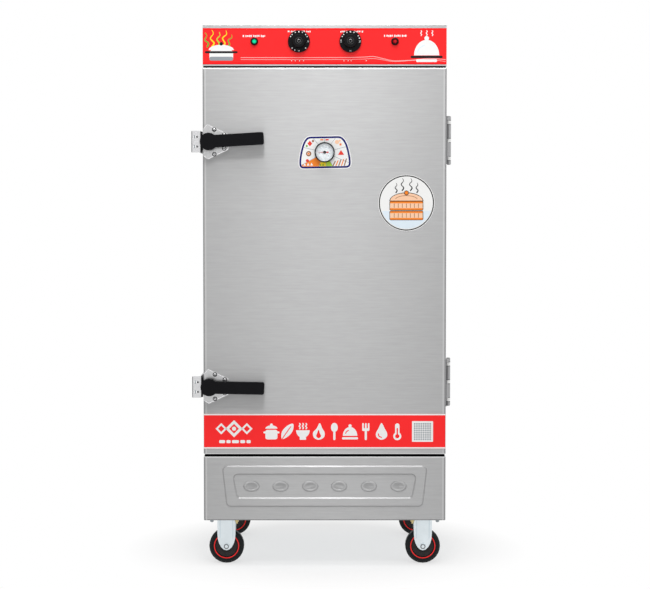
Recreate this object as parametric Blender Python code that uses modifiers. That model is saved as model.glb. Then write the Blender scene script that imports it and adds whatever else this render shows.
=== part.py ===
"""A rice steamer cabinet on casters, as separate jointed pieces.

Units are metres, +Z is up, the front faces -Y and the floor is z = 0.
Every sub-part is one named object, and a piece that moves has its origin on its axis.
"""

import math

import bmesh
import bpy
from mathutils import Matrix, Vector

# Cabinet
cabinet_width = 0.700
cabinet_depth = 0.600
cabinet_height = 1.567
lower_panel_height = 0.186
lower_door_gap = 0.0065
upper_door_gap = 0.0045
control_panel_height = 0.1195
panel_return = 0.015
panel_flange = 0.022
sheet = 0.001
corner_round = 0.003
fold_round = 0.002

# Fits
fit_gap = 0.0003
overrun = 0.002

# Steam chamber
side_insulation = 0.037
back_insulation = 0.050
floor_insulation = 0.035
chamber_floor_height = 0.057
chamber_roof_height = 0.052
liner_sheet = 0.0008
frame_return = 0.012

# Door
door_thickness = 0.045
door_gap = 0.005
gasket_width = 0.018
gasket_inset = 0.0095
door_dish_inset = 0.024
door_dish_depth = 0.009

# Red band across the foot of the door
band_rise = 0.0166
band_height = 0.1011
film_thickness = 0.0004
film_inset = 0.001

# Control panel fittings
overlay_height = 0.1027
overlay_rise = 0.0051
control_rise = 0.0698
knob_spacing = 0.1474
lamp_spacing = 0.4025
knob_skirt_radius = 0.0315
knob_skirt_height = 0.005
knob_hub_radius = 0.0195
knob_height = 0.024
knob_draft = 0.0012
knob_dish_radius = 0.0085
knob_dish_depth = 0.002
knob_cap_radius = 0.005
knob_float = 0.0012
knob_bore_depth = 0.012
shaft_radius = 0.003
switch_width = 0.046
switch_height = 0.052
switch_depth = 0.034
bezel_radius = 0.0105
bezel_height = 0.0028
lens_radius = 0.008
lens_height = 0.0055
lens_crown_share = 0.55
lens_crown_drop_share = 0.15
lens_shoulder_share = 0.90
lens_shoulder_drop_share = 0.55
lamp_barrel_radius = 0.0072
lamp_length = 0.030

# Embossed frame of the lower panel
emboss_top_width = 0.596
emboss_bottom_width = 0.570
emboss_height = 0.1205
emboss_rise = 0.0395
emboss_border_top = 0.027
emboss_border_side = 0.030
emboss_border_foot = 0.024
emboss_proud = 0.003
emboss_slope = 0.004
emboss_corner = 0.014

# Thermometer in the door
thermometer_drop = 0.242
thermometer_radius = 0.029
thermometer_wall = 0.003
thermometer_proud = 0.013
thermometer_floor = 0.004
stem_radius = 0.004
stem_reach = 0.018
dial_thickness = 0.001
needle_spindle_radius = 0.0012
needle_hub_radius = 0.0042
needle_thickness = 0.0012
needle_length = 0.0205
needle_tail = 0.011
needle_width = 0.0016
needle_tail_width = 0.0042

# Latches, one high and one low on the door's left edge
upper_latch_drop = 0.212
lower_latch_rise = 0.197
latch_tilts = {"upper": 3.4, "lower": -1.0}
latch_inset = 0.0185
latch_plate_top = 0.052
latch_plate_foot = 0.051
latch_plate_nose = 0.056
latch_plate_side = 0.0172
latch_nose_height = 0.045
latch_plate_thickness = 0.002
latch_plate_corner = 0.004
latch_plate_foot_share = 0.80
latch_plate_top_share = 0.72
latch_foot_point_share = 0.20
latch_top_point_share = 0.30
latch_stud_radius = 0.005
cam_radius = 0.014
cam_clearance = 0.0006
cam_tongue_width = 0.016
cam_thickness = 0.005
cam_boss_radius = 0.010
cam_boss_height = 0.0076
lever_head_radius = 0.025
lever_thickness = 0.0195
lever_arm_thickness = 0.014
lever_width = 0.0355
lever_length = 0.158
lever_corner = 0.005
lever_round = 0.003

# Keepers on the cabinet's side
keeper_height = 0.062
keeper_stand_off = 0.006
keeper_sheet = 0.0025
keeper_flange = 0.0255
keeper_foot = 0.040
keeper_foot_inset = 0.0055
strike_height = 0.058
strike_depth = 0.0068
keeper_slot_height = 0.0045
keeper_slot_length = 0.012
keeper_slot_spacing = 0.028

# Door hinges
upper_hinge_drop = 0.206
lower_hinge_rise = 0.2065
hinge_length = 0.137
hinge_axis_stand_off = 0.010
barrel_radius = 0.006
hinge_pin_radius = 0.003
hinge_leaf_width = 0.036
hinge_leaf_thickness = 0.0025
hinge_web_thickness = 0.005
hinge_leaf_gap = 0.0024
bush_length = 0.010
end_knuckle_share = 0.084
pin_head_radius = 0.0048
pin_head_height = 0.0015

# Casters
wheel_diameter = 0.102
wheel_width = 0.032
tread_round = 0.006
wheel_recess = 0.005
wheel_rim_width = 0.017
wheel_hub_radius = 0.015
wheel_web_slope = 0.0018
caster_headroom = 0.035
caster_side_inset = 0.062
caster_inset = 0.075
caster_plate_width = 0.100
caster_plate_depth = 0.076
caster_sheet = 0.003
caster_leg_width = 0.053
caster_leg_gap = 0.002
leg_tip_drop = 0.012
leg_taper_height = 0.0486
axle_radius = 0.005
axle_head_radius = 0.0085
axle_head_height = 0.005
swivel_trail = 0.022
swivel_race_radius = 0.024
swivel_race_height = 0.009
kingpin_radius = 0.008
kingpin_head_radius = 0.011
kingpin_head_height = 0.003
swivel_brow = 0.012

# Base frame
base_sheet = 0.0015
base_flange = 0.030

# Water tank, its heater and the perforated plate over it
tank_width = 0.460
tank_depth = 0.340
tank_height = 0.160
tank_flange = 0.015
tank_sheet = 0.001
well_margin = 0.015
steam_plate_lap = 0.012
steam_plate_thickness = 0.002
steam_slot_length = 0.060
steam_slot_width = 0.008
steam_slot_rows = 3
steam_slot_columns = 9
heater_radius = 0.005
heater_rise = 0.030
heater_runs = 4
heater_run_spacing = 0.060
heater_end_gap = 0.040
heater_terminal = 0.030
heater_collar_radius = 0.009
heater_collar_height = 0.006

# Tray racks and one tray
tray_levels = 12
first_level_rise = 0.060
last_level_drop = 0.0975
runner_width = 0.0205
runner_sheet = 0.0012
runner_lip = 0.010
runner_end_gap = 0.030
upright_width = 0.020
upright_thickness = 0.003
upright_inset = 0.040
tray_length = 0.600
tray_breadth = 0.400
tray_height = 0.048
tray_sheet = 0.0008
tray_rim = 0.014
tray_draft = 0.006
tray_corner = 0.016
tray_level = 4

# Rear fittings
drain_offset = -0.150
drain_rise = 0.024
drain_pipe_radius = 0.009
drain_bore_radius = 0.006
valve_radius = 0.014
valve_length = 0.024
valve_nozzle_length = 0.012
valve_stem_radius = 0.004
valve_stem_height = 0.012
valve_eye_radius = 0.008
valve_lever_corner = 0.002
valve_lever_length = 0.060
valve_lever_width = 0.012
valve_lever_thickness = 0.003
gland_offset = 0.200
gland_rise = 0.075
gland_bore_radius = 0.006
gland_thread_radius = 0.010
gland_nut_radius = 0.014
gland_nut_height = 0.006
gland_cap_radius = 0.012
gland_cap_height = 0.016
gland_taper_share = 0.75
vent_slot_length = 0.120
vent_slot_width = 0.006
vent_slot_pitch = 0.014
vent_slot_count = 5
vent_spacing = 0.300
vent_height = 0.0258

# Levels and planes worked out from the sizes above
half_width = cabinet_width / 2
front = -cabinet_depth / 2
back = cabinet_depth / 2
casing_bottom = wheel_diameter + caster_headroom
lower_panel_top = casing_bottom + lower_panel_height
door_bottom = lower_panel_top + lower_door_gap
cabinet_top = cabinet_height
control_panel_bottom = cabinet_top - control_panel_height
door_top = control_panel_bottom - upper_door_gap
door_back = front + door_thickness
body_front = door_back + door_gap
panel_back = front + panel_return
inner_half_width = half_width - sheet - fit_gap
chamber_half = half_width - side_insulation
chamber_bottom = lower_panel_top + chamber_floor_height
chamber_top = control_panel_bottom - chamber_roof_height
first_level = chamber_bottom + first_level_rise
level_spacing = (chamber_top - last_level_drop - first_level) / (tray_levels - 1)
liner_front = body_front + frame_return + fit_gap
chamber_back = back - back_insulation
runner_length = chamber_back - body_front - 2 * runner_end_gap
upright_spacing = runner_length - 2 * upright_inset
control_height = control_panel_bottom + control_rise
tank_top = chamber_bottom - liner_sheet - fit_gap
tank_bottom = tank_top - tank_height
axle_height = wheel_diameter / 2
front_wheel_y = front + caster_inset
rear_wheel_y = back - caster_inset
wheel_x = half_width - caster_side_inset
cam_reach = latch_inset + keeper_stand_off - cam_clearance
hinge_x = half_width + hinge_axis_stand_off
hinge_y = (door_back + body_front) / 2
thermometer_z = door_top - thermometer_drop
latch_z = {"upper": door_top - upper_latch_drop, "lower": door_bottom + lower_latch_rise}
hinge_z = {"upper": door_top - upper_hinge_drop, "lower": door_bottom + lower_hinge_rise}

# Finishes: colour, roughness, metallic
brushed_steel = ((0.62, 0.62, 0.63), 0.34, 1.0)
liner_steel = ((0.66, 0.66, 0.66), 0.28, 1.0)
zinc_steel = ((0.60, 0.64, 0.67), 0.42, 1.0)
polished_steel = ((0.72, 0.72, 0.73), 0.18, 1.0)
black_plastic = ((0.012, 0.012, 0.014), 0.42, 0.0)
red_film = ((0.95, 0.03, 0.04), 0.35, 0.0)
white_film = ((0.85, 0.85, 0.84), 0.45, 0.0)
grey_rubber = ((0.10, 0.10, 0.10), 0.75, 0.0)
black_tyre = ((0.020, 0.020, 0.022), 0.60, 0.0)
insulation_foam = ((0.75, 0.62, 0.32), 0.90, 0.0)
heater_sheath = ((0.16, 0.15, 0.14), 0.45, 1.0)
green_lens = ((0.02, 0.75, 0.40), 0.15, 0.0)
red_lens = ((0.35, 0.01, 0.02), 0.15, 0.0)
red_paint = ((0.80, 0.02, 0.02), 0.40, 0.0)


def clear_scene():
    for old in list(bpy.data.objects):
        bpy.data.objects.remove(old, do_unlink=True)


def collection(name):
    group = bpy.data.collections.new(name)
    bpy.context.scene.collection.children.link(group)
    return group


clear_scene()
parts = collection("rice_steamer_cabinet")
cutters = collection("cutters")


# Basic shapes, each returned as a bmesh in world places


def block(low, high, rounded=None, width=fold_round, segments=2):
    """A box between two corners. rounded picks edges by their unit corners."""
    bm = bmesh.new()
    low = Vector(low)
    high = Vector(high)
    size = high - low
    bmesh.ops.create_cube(bm, size=1)
    for vertex in bm.verts:
        vertex.co += Vector((0.5, 0.5, 0.5))
    picked = []
    if rounded and width > 0:
        picked = [edge for edge in bm.edges if rounded(edge.verts[0].co, edge.verts[1].co)]
    for vertex in bm.verts:
        vertex.co = low + Vector(a * b for a, b in zip(vertex.co, size))
    if picked:
        bmesh.ops.bevel(
            bm, geom=picked, offset=width, segments=segments, profile=0.5, affect="EDGES"
        )
    return bm


def inside(outer_round):
    """The inner radius of a bend in the casing sheet, from its outer radius."""
    return max(outer_round - sheet, 0)


def front_edges(a, b):
    """Edges that touch the front face of a box."""
    return min(a.y, b.y) < 0.5


def top_side_edges(a, b):
    """The two edges along Y at the top of a box."""
    return min(a.z, b.z) > 0.5 and abs(a.y - b.y) > 0.5


def upright_edges(a, b):
    """The four edges along Z of a box."""
    return abs(a.z - b.z) > 0.5


def rod(radius, start, end, segments=16):
    """A cylinder between two points."""
    bm = bmesh.new()
    start = Vector(start)
    end = Vector(end)
    run = end - start
    turn = run.to_track_quat("Z", "Y").to_matrix().to_4x4()
    bmesh.ops.create_cone(
        bm,
        cap_ends=True,
        segments=segments,
        radius1=radius,
        radius2=radius,
        depth=run.length,
        matrix=Matrix.Translation((start + end) / 2) @ turn,
    )
    return bm


def loft(sections):
    """A closed skin through sections of equal point counts, capped at both ends."""
    bm = bmesh.new()
    rings = [[bm.verts.new(point) for point in section] for section in sections]
    for ring, following in zip(rings, rings[1:]):
        count = len(ring)
        for i in range(count):
            j = (i + 1) % count
            bm.faces.new((ring[i], ring[j], following[j], following[i]))
    bm.faces.new(rings[0])
    bm.faces.new(rings[-1])
    bmesh.ops.recalc_face_normals(bm, faces=bm.faces)
    return bm


# Outlines in a plane, as lists of (across, up) pairs


def arc(centre, radius, start, end, steps=6):
    """Points on a circle, from one angle to another in degrees."""
    points = []
    for i in range(steps + 1):
        angle = math.radians(start + (end - start) * i / steps)
        points.append((centre[0] + radius * math.cos(angle), centre[1] + radius * math.sin(angle)))
    return points


def rounded_outline(corners, radius, steps=3):
    """A polygon with an arc at each corner."""
    points = []
    count = len(corners)
    for i in range(count):
        here = Vector(corners[i])
        before = (Vector(corners[i - 1]) - here).normalized()
        after = (Vector(corners[(i + 1) % count]) - here).normalized()
        half = before.angle(after) / 2
        reach = radius / math.tan(half)
        centre = here + (before + after).normalized() * (radius / math.sin(half))
        first = here + before * reach - centre
        last = here + after * reach - centre
        sweep = first.angle_signed(last)
        for k in range(steps + 1):
            spin = Matrix.Rotation(-sweep * k / steps, 2)
            points.append(tuple(centre + spin @ first))
    return points


def slab(name, points, low, high, facing="Y"):
    """A flat outline given thickness along one axis, from a filled 2D curve."""
    curve = bpy.data.curves.new(name, "CURVE")
    curve.dimensions = "2D"
    curve.fill_mode = "BOTH"
    curve.extrude = (high - low) / 2
    spline = curve.splines.new("POLY")
    spline.points.add(len(points) - 1)
    spline.use_cyclic_u = True
    for place, (across, up) in zip(spline.points, points):
        place.co = (across, up, 0, 1)
    holder = bpy.data.objects.new(name, curve)
    middle = (low + high) / 2
    if facing == "Y":
        holder.matrix_world = Matrix.Translation((0, middle, 0)) @ Matrix.Rotation(math.pi / 2, 4, "X")
    elif facing == "X":
        turn = Matrix(((0, 0, 1, 0), (1, 0, 0, 0), (0, 1, 0, 0), (0, 0, 0, 1)))
        holder.matrix_world = Matrix.Translation((middle, 0, 0)) @ turn
    else:
        holder.matrix_world = Matrix.Translation((0, 0, middle))
    place_matrix = holder.matrix_world.copy()
    cutters.objects.link(holder)
    seen = holder.evaluated_get(bpy.context.evaluated_depsgraph_get())
    mesh = bpy.data.meshes.new_from_object(seen)
    bm = bmesh.new()
    bm.from_mesh(mesh)
    bm.transform(place_matrix)
    bmesh.ops.remove_doubles(bm, verts=bm.verts, dist=0.000001)
    bmesh.ops.recalc_face_normals(bm, faces=bm.faces)
    bpy.data.objects.remove(holder, do_unlink=True)
    bpy.data.curves.remove(curve)
    bpy.data.meshes.remove(mesh)
    return bm


def oriented(axis, origin):
    """A matrix whose local Z lies along the axis, at the origin."""
    return Matrix.Translation(Vector(origin)) @ Vector(axis).to_track_quat("Z", "Y").to_matrix().to_4x4()


# Objects


def paint(thing, finish):
    """Give an object its own material."""
    colour, roughness, metallic = finish
    material = bpy.data.materials.new(thing.name + "_finish")
    material.use_nodes = True
    shader = material.node_tree.nodes["Principled BSDF"]
    shader.inputs["Base Color"].default_value = (*colour, 1)
    shader.inputs["Roughness"].default_value = roughness
    shader.inputs["Metallic"].default_value = metallic
    thing.data.materials.append(material)


def piece(name, bm, finish, origin=(0, 0, 0), smooth=False):
    """Put a finished bmesh in the scene as a named part, its origin at a point."""
    mesh = bpy.data.meshes.new(name)
    bm.to_mesh(mesh)
    bm.free()
    mesh.transform(Matrix.Translation(-Vector(origin)))
    thing = bpy.data.objects.new(name, mesh)
    thing.location = origin
    parts.objects.link(thing)
    paint(thing, finish)
    if smooth:
        mesh.shade_smooth()
        mesh.set_sharp_from_angle(angle=math.radians(35))
    return thing


def turned(name, profile, finish, axis, origin, steps=32, ring=False):
    """A turned piece: a profile of (radius, height) pairs on a Screw modifier."""
    mesh = bpy.data.meshes.new(name)
    count = len(profile)
    edges = [(i, i + 1) for i in range(count - 1)]
    if ring:
        edges.append((count - 1, 0))
    mesh.from_pydata([(radius, 0, height) for radius, height in profile], edges, [])
    thing = bpy.data.objects.new(name, mesh)
    thing.matrix_world = oriented(axis, origin)
    screw = thing.modifiers.new("turn", "SCREW")
    screw.steps = steps
    screw.render_steps = steps
    screw.use_merge_vertices = True
    screw.merge_threshold = 0.000001
    screw.use_smooth_shade = True
    parts.objects.link(thing)
    paint(thing, finish)
    return thing


def combine(thing, tool, operation):
    """Join or cut with a tool shape, which is kept as a hidden cutter object."""
    name = "{}_{}_{}".format(thing.name, operation.lower(), len(thing.modifiers))
    mesh = bpy.data.meshes.new(name)
    tool.to_mesh(mesh)
    tool.free()
    helper = bpy.data.objects.new(name, mesh)
    helper.hide_render = True
    helper.display_type = "WIRE"
    cutters.objects.link(helper)
    boolean = thing.modifiers.new(name, "BOOLEAN")
    boolean.operation = operation
    boolean.solver = "EXACT"
    boolean.object = helper
    return thing


def cut(thing, *tools):
    for tool in tools:
        combine(thing, tool, "DIFFERENCE")
    return thing


def join(thing, *tools):
    for tool in tools:
        combine(thing, tool, "UNION")
    return thing


def hold(child, holder):
    """Parent a piece to another and keep it where it is."""
    bpy.context.view_layer.update()
    child.parent = holder
    child.matrix_parent_inverse = holder.matrix_world.inverted()


# Casing


def outer_casing():
    """An inverted U of sheet: two sides and the roof, set back where the door closes."""
    thing = piece(
        "outer_casing",
        block(
            (-half_width, panel_back + fit_gap, casing_bottom),
            (half_width, back, cabinet_top),
            top_side_edges,
            corner_round,
        ),
        brushed_steel,
    )
    cut(
        thing,
        block(
            (sheet - half_width, front, casing_bottom - overrun),
            (half_width - sheet, back + overrun, cabinet_top - sheet),
            top_side_edges,
            inside(corner_round),
        ),
        block(
            (-half_width - overrun, front, lower_panel_top),
            (half_width + overrun, body_front, control_panel_bottom),
        ),
    )
    return thing


def pan(name, low_z, high_z, flange_at_top):
    """A front panel folded back on four sides, one of them drawn out as a flange over the body frame."""
    end = body_front + panel_flange
    thing = piece(
        name,
        block((-half_width, front, low_z), (half_width, end, high_z), front_edges),
        brushed_steel,
    )
    cut(
        thing,
        block(
            (sheet - half_width, front + sheet, low_z + sheet),
            (half_width - sheet, end + overrun, high_z - sheet),
            front_edges,
            inside(fold_round),
        ),
    )
    if flange_at_top:
        spare_low, spare_high = low_z - overrun, high_z - sheet
    else:
        spare_low, spare_high = low_z + sheet, high_z + overrun
    cut(
        thing,
        block(
            (-half_width - overrun, panel_back, spare_low),
            (half_width + overrun, end + overrun, spare_high),
        ),
    )
    for side in (-1, 1):
        edge = side * inner_half_width
        outside = side * (half_width + overrun)
        cut(
            thing,
            block(
                (min(edge, outside), panel_back, low_z - overrun),
                (max(edge, outside), end + overrun, high_z + overrun),
            ),
        )
    return thing


def control_panel():
    thing = pan("control_panel", control_panel_bottom, cabinet_top, False)
    for side in (-1, 1):
        for spacing, radius in ((knob_spacing, shaft_radius + sheet), (lamp_spacing, lens_radius)):
            across = side * spacing / 2
            cut(
                thing,
                rod(
                    radius,
                    (across, front - overrun, control_height),
                    (across, front + sheet + overrun, control_height),
                ),
            )
    return thing


def trapezoid(top, bottom, low_z, high_z, corner):
    corners = [(-bottom / 2, low_z), (bottom / 2, low_z), (top / 2, high_z), (-top / 2, high_z)]
    return rounded_outline(corners, corner)


def at_depth(outline, depth):
    return [(across, depth, up) for across, up in outline]


def lower_front_panel():
    """The plain lower panel with a raised frame pressed into it."""
    thing = pan("lower_front_panel", casing_bottom, lower_panel_top, True)
    low = casing_bottom + emboss_rise
    high = low + emboss_height
    outer = trapezoid(emboss_top_width, emboss_bottom_width, low, high, emboss_corner)
    outer_top = trapezoid(
        emboss_top_width - 2 * emboss_slope,
        emboss_bottom_width - 2 * emboss_slope,
        low + emboss_slope,
        high - emboss_slope,
        emboss_corner - emboss_slope,
    )
    inner_top = emboss_top_width - 2 * emboss_border_side
    inner_bottom = emboss_bottom_width - 2 * emboss_border_side
    inner_low = low + emboss_border_foot
    inner_high = high - emboss_border_top + emboss_slope
    inner = trapezoid(inner_top, inner_bottom, inner_low, inner_high, emboss_corner)
    inner_floor = trapezoid(
        inner_top - 2 * emboss_slope,
        inner_bottom - 2 * emboss_slope,
        inner_low + emboss_slope,
        inner_high - emboss_slope,
        emboss_corner - emboss_slope,
    )
    proud = front - emboss_proud
    join(
        thing,
        loft([at_depth(outer, front + sheet / 2), at_depth(outer, front), at_depth(outer_top, proud)]),
    )
    cut(
        thing,
        loft([at_depth(inner, proud - overrun), at_depth(inner, proud), at_depth(inner_floor, front)]),
    )
    return thing


def back_panel():
    thing = piece(
        "back_panel",
        block(
            (-inner_half_width, back - sheet, casing_bottom),
            (inner_half_width, back, cabinet_top - sheet - fit_gap),
            top_side_edges,
            inside(corner_round),
        ),
        brushed_steel,
    )
    holes = [
        (drain_offset, tank_bottom + drain_rise, drain_pipe_radius + fit_gap),
        (gland_offset, casing_bottom + gland_rise, gland_thread_radius + fit_gap),
    ]
    for across, up, radius in holes:
        cut(thing, rod(radius, (across, back - 2 * sheet, up), (across, back + sheet, up)))
    for side in (-1, 1):
        across = side * vent_spacing / 2
        for k in range(vent_slot_count):
            up = control_panel_bottom + vent_height + k * vent_slot_pitch
            cut(
                thing,
                block(
                    (across - vent_slot_length / 2, back - 2 * sheet, up),
                    (across + vent_slot_length / 2, back + sheet, up + vent_slot_width),
                ),
            )
    return thing


def base_frame():
    """The floor tray that the casters bolt to."""
    low = (-inner_half_width, panel_back + fit_gap, casing_bottom)
    high = (inner_half_width, back - sheet - fit_gap, casing_bottom + base_flange)
    thing = piece("base_frame", block(low, high), zinc_steel)
    cut(
        thing,
        block(
            (low[0] + base_sheet, low[1] + base_sheet, casing_bottom + base_sheet),
            (high[0] - base_sheet, high[1] - base_sheet, high[2] + overrun),
        ),
    )
    return thing


def front_frame():
    """The ring of folded sheet round the chamber's mouth, which the gasket closes on."""
    thing = piece(
        "front_frame",
        block(
            (-inner_half_width, body_front, lower_panel_top + fit_gap),
            (inner_half_width, body_front + sheet, control_panel_bottom - fit_gap),
        ),
        liner_steel,
    )
    join(
        thing,
        block(
            (-chamber_half - sheet, body_front + sheet / 2, chamber_bottom - sheet),
            (chamber_half + sheet, body_front + frame_return, chamber_top + sheet),
        ),
    )
    cut(
        thing,
        block(
            (-chamber_half, body_front - overrun, chamber_bottom),
            (chamber_half, body_front + frame_return + overrun, chamber_top),
        ),
    )
    return thing


def inner_liner():
    """The chamber's lining, open to the front and over the tank."""
    across = tank_width / 2 - well_margin
    along = tank_depth / 2 - well_margin
    thing = piece(
        "inner_liner",
        block(
            (-chamber_half - liner_sheet, liner_front, chamber_bottom - liner_sheet),
            (chamber_half + liner_sheet, chamber_back + liner_sheet, chamber_top + liner_sheet),
        ),
        liner_steel,
    )
    cut(
        thing,
        block(
            (-chamber_half, liner_front - overrun, chamber_bottom),
            (chamber_half, chamber_back, chamber_top),
        ),
        block(
            (-across, -along, chamber_bottom - 2 * overrun),
            (across, along, chamber_bottom + overrun),
        ),
    )
    return thing


def insulation_jacket():
    """Foam between liner and casing: two sides, back, roof and floor."""
    clear = sheet + fit_gap
    thing = piece(
        "insulation_jacket",
        block(
            (-inner_half_width, body_front + clear, chamber_bottom - liner_sheet - floor_insulation),
            (inner_half_width, back - clear, control_panel_bottom - fit_gap),
        ),
        insulation_foam,
    )
    across = tank_width / 2 + tank_flange + fit_gap
    along = tank_depth / 2 + tank_flange + fit_gap
    cut(
        thing,
        block(
            (-chamber_half - clear, body_front, chamber_bottom - clear),
            (chamber_half + clear, chamber_back + clear, chamber_top + clear),
        ),
        block((-across, -along, tank_bottom), (across, along, chamber_bottom)),
    )
    return thing


# Control panel fittings


def control_overlay():
    """The red printed film on the control panel."""
    low = control_panel_bottom + overlay_rise
    face = front - fit_gap
    thing = piece(
        "control_overlay",
        block(
            (film_inset - half_width, face - film_thickness, low),
            (half_width - film_inset, face, low + overlay_height),
        ),
        red_film,
    )
    for side in (-1, 1):
        for spacing, radius in ((knob_spacing, shaft_radius + sheet), (lamp_spacing, lens_radius)):
            across = side * spacing / 2
            cut(
                thing,
                rod(
                    radius,
                    (across, face + overrun, control_height),
                    (across, face - film_thickness - overrun, control_height),
                ),
            )
    return thing


def panel_face():
    """The plane that knobs and bezels sit on."""
    return front - 2 * fit_gap - film_thickness


def switch_unit(name, across, width, height):
    """The timer or thermostat behind the panel, with the shaft that carries its knob."""
    face = front + sheet + fit_gap
    thing = piece(
        name,
        block(
            (across - width / 2, face, control_height - height / 2),
            (across + width / 2, face + switch_depth, control_height + height / 2),
            upright_edges,
        ),
        black_plastic,
    )
    tip = panel_face() - knob_float - knob_bore_depth + fit_gap
    join(
        thing,
        rod(shaft_radius, (across, face + sheet, control_height), (across, tip, control_height), 16),
    )
    return thing


def control_knob(name, across):
    """A round knob: numbered skirt, tapered hub and a dished centre."""
    bore = shaft_radius + fit_gap
    hub_top = knob_hub_radius - knob_draft
    dish = knob_height - knob_dish_depth
    profile = [
        (0, knob_height),
        (knob_cap_radius - knob_draft, knob_height),
        (knob_cap_radius, dish),
        (knob_dish_radius, dish),
        (knob_dish_radius + knob_draft, knob_height),
        (hub_top - knob_draft, knob_height),
        (hub_top, knob_height - knob_draft),
        (knob_hub_radius, knob_skirt_height + knob_draft),
        (knob_hub_radius + knob_draft, knob_skirt_height),
        (knob_skirt_radius - knob_draft, knob_skirt_height),
        (knob_skirt_radius, knob_skirt_height - knob_draft),
        (knob_skirt_radius, 0),
        (bore, 0),
        (bore, knob_bore_depth),
        (0, knob_bore_depth),
    ]
    place = (across, panel_face() - knob_float, control_height)
    return turned(name, profile, black_plastic, (0, -1, 0), place, 28)


def pilot_lamp(name, across, lens):
    """An indicator lamp: domed lens, bezel and a barrel through the panel."""
    dome = bezel_height + lens_height
    barrel = lamp_barrel_radius
    profile = [
        (0, dome),
        (lens_radius * lens_crown_share, dome - lens_height * lens_crown_drop_share),
        (lens_radius * lens_shoulder_share, dome - lens_height * lens_shoulder_drop_share),
        (lens_radius, bezel_height),
        (bezel_radius, bezel_height),
        (bezel_radius, 0),
        (barrel, 0),
        (barrel, -lamp_length),
        (0, -lamp_length),
    ]
    place = (across, panel_face(), control_height)
    return turned(name, profile, lens, (0, -1, 0), place, 20)


# Door


def stem_hole(thing, low_y, high_y):
    """The hole for the thermometer's stem."""
    radius = stem_radius + fit_gap
    return cut(thing, rod(radius, (0, low_y, thermometer_z), (0, high_y, thermometer_z), 16))


def door_outer_skin():
    rear = door_back - sheet - fit_gap
    thing = piece(
        "door_outer_skin",
        block(
            (-half_width, front, door_bottom),
            (half_width, rear + overrun, door_top),
            front_edges,
            corner_round,
        ),
        brushed_steel,
    )
    cut(
        thing,
        block(
            (sheet - half_width, front + sheet, door_bottom + sheet),
            (half_width - sheet, rear + 2 * overrun, door_top - sheet),
            front_edges,
            inside(corner_round),
        ),
        block(
            (-half_width - overrun, rear, door_bottom - overrun),
            (half_width + overrun, rear + 2 * overrun, door_top + overrun),
        ),
    )
    return stem_hole(thing, front - overrun, front + sheet + overrun)


def dish_block(inset, low_y, high_y):
    across = chamber_half - door_dish_inset - inset
    low = chamber_bottom + door_dish_inset + inset
    high = chamber_top - door_dish_inset - inset
    return block((-across, low_y, low), (across, high_y, high))


def door_inner_skin():
    """The liner of the door, pressed in a dish that stands a little way into the chamber."""
    thing = piece(
        "door_inner_skin",
        block((-half_width, door_back - sheet, door_bottom), (half_width, door_back, door_top)),
        liner_steel,
    )
    deep = door_back + door_dish_depth
    join(thing, dish_block(0, door_back - sheet / 2, deep))
    cut(thing, dish_block(sheet, door_back - sheet - overrun, deep - sheet))
    return stem_hole(thing, deep - sheet - overrun, deep + overrun)


def door_insulation():
    across = half_width - sheet - fit_gap
    low = front + sheet + fit_gap
    rear = door_back - sheet - fit_gap
    thing = piece(
        "door_insulation",
        block(
            (-across, low, door_bottom + sheet + fit_gap),
            (across, rear, door_top - sheet - fit_gap),
            front_edges,
            inside(corner_round),
        ),
        insulation_foam,
    )
    deep = door_back + door_dish_depth - sheet - fit_gap
    join(thing, dish_block(sheet + fit_gap, rear - overrun, deep))
    return stem_hole(thing, low - overrun, deep + overrun)


def door_gasket():
    inner_x = chamber_half + gasket_inset
    inner_low = chamber_bottom - gasket_inset
    inner_high = chamber_top + gasket_inset
    low_y = door_back + fit_gap
    high_y = body_front - fit_gap
    thing = piece(
        "door_gasket",
        block(
            (-inner_x - gasket_width, low_y, inner_low - gasket_width),
            (inner_x + gasket_width, high_y, inner_high + gasket_width),
        ),
        grey_rubber,
    )
    return cut(
        thing,
        block((-inner_x, low_y - overrun, inner_low), (inner_x, high_y + overrun, inner_high)),
    )


def door_band():
    face = front - fit_gap
    low = door_bottom + band_rise
    return piece(
        "door_band",
        block(
            (film_inset - half_width, face - film_thickness, low),
            (half_width - film_inset, face, low + band_height),
        ),
        red_film,
    )


def thermometer():
    """The dial thermometer in the door: case with stem, dial and needle."""
    up = thermometer_z
    seat = front - fit_gap
    inner = thermometer_radius - thermometer_wall
    reach = door_thickness + door_dish_depth + stem_reach
    lip = thermometer_wall / 3
    profile = [
        (0, thermometer_floor),
        (inner, thermometer_floor),
        (inner, thermometer_proud),
        (thermometer_radius - lip, thermometer_proud),
        (thermometer_radius, thermometer_proud - lip),
        (thermometer_radius, 0),
        (stem_radius, 0),
        (stem_radius, -reach),
        (0, -reach),
    ]
    case = turned("thermometer_case", profile, polished_steel, (0, -1, 0), (0, seat, up), 32)
    spindle = needle_spindle_radius
    dial_back = thermometer_floor + fit_gap
    dial_face = dial_back + dial_thickness
    edge = inner - fit_gap
    dial_profile = [
        (spindle + fit_gap, dial_face),
        (edge, dial_face),
        (edge, dial_back),
        (spindle + fit_gap, dial_back),
    ]
    dial = turned("thermometer_dial", dial_profile, white_film, (0, -1, 0), (0, seat, up), 32, ring=True)
    low = seat - dial_face - fit_gap
    points = [(-needle_length, 0), (0, -needle_width / 2)]
    points += [(needle_tail, -needle_tail_width / 2), (needle_tail, needle_tail_width / 2)]
    points += [(0, needle_width / 2)]
    outline = [(across, up + rise) for across, rise in points]
    needle = piece(
        "thermometer_needle",
        slab("needle_blade", outline, low - needle_thickness, low),
        red_paint,
        (0, low, up),
    )
    hub_top = low - 2 * needle_thickness
    join(
        needle,
        rod(needle_hub_radius, (0, low, up), (0, hub_top, up), 16),
        rod(spindle, (0, low - needle_thickness, up), (0, seat - dial_back, up), 10),
    )
    return case, dial, needle


# Latches


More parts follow.
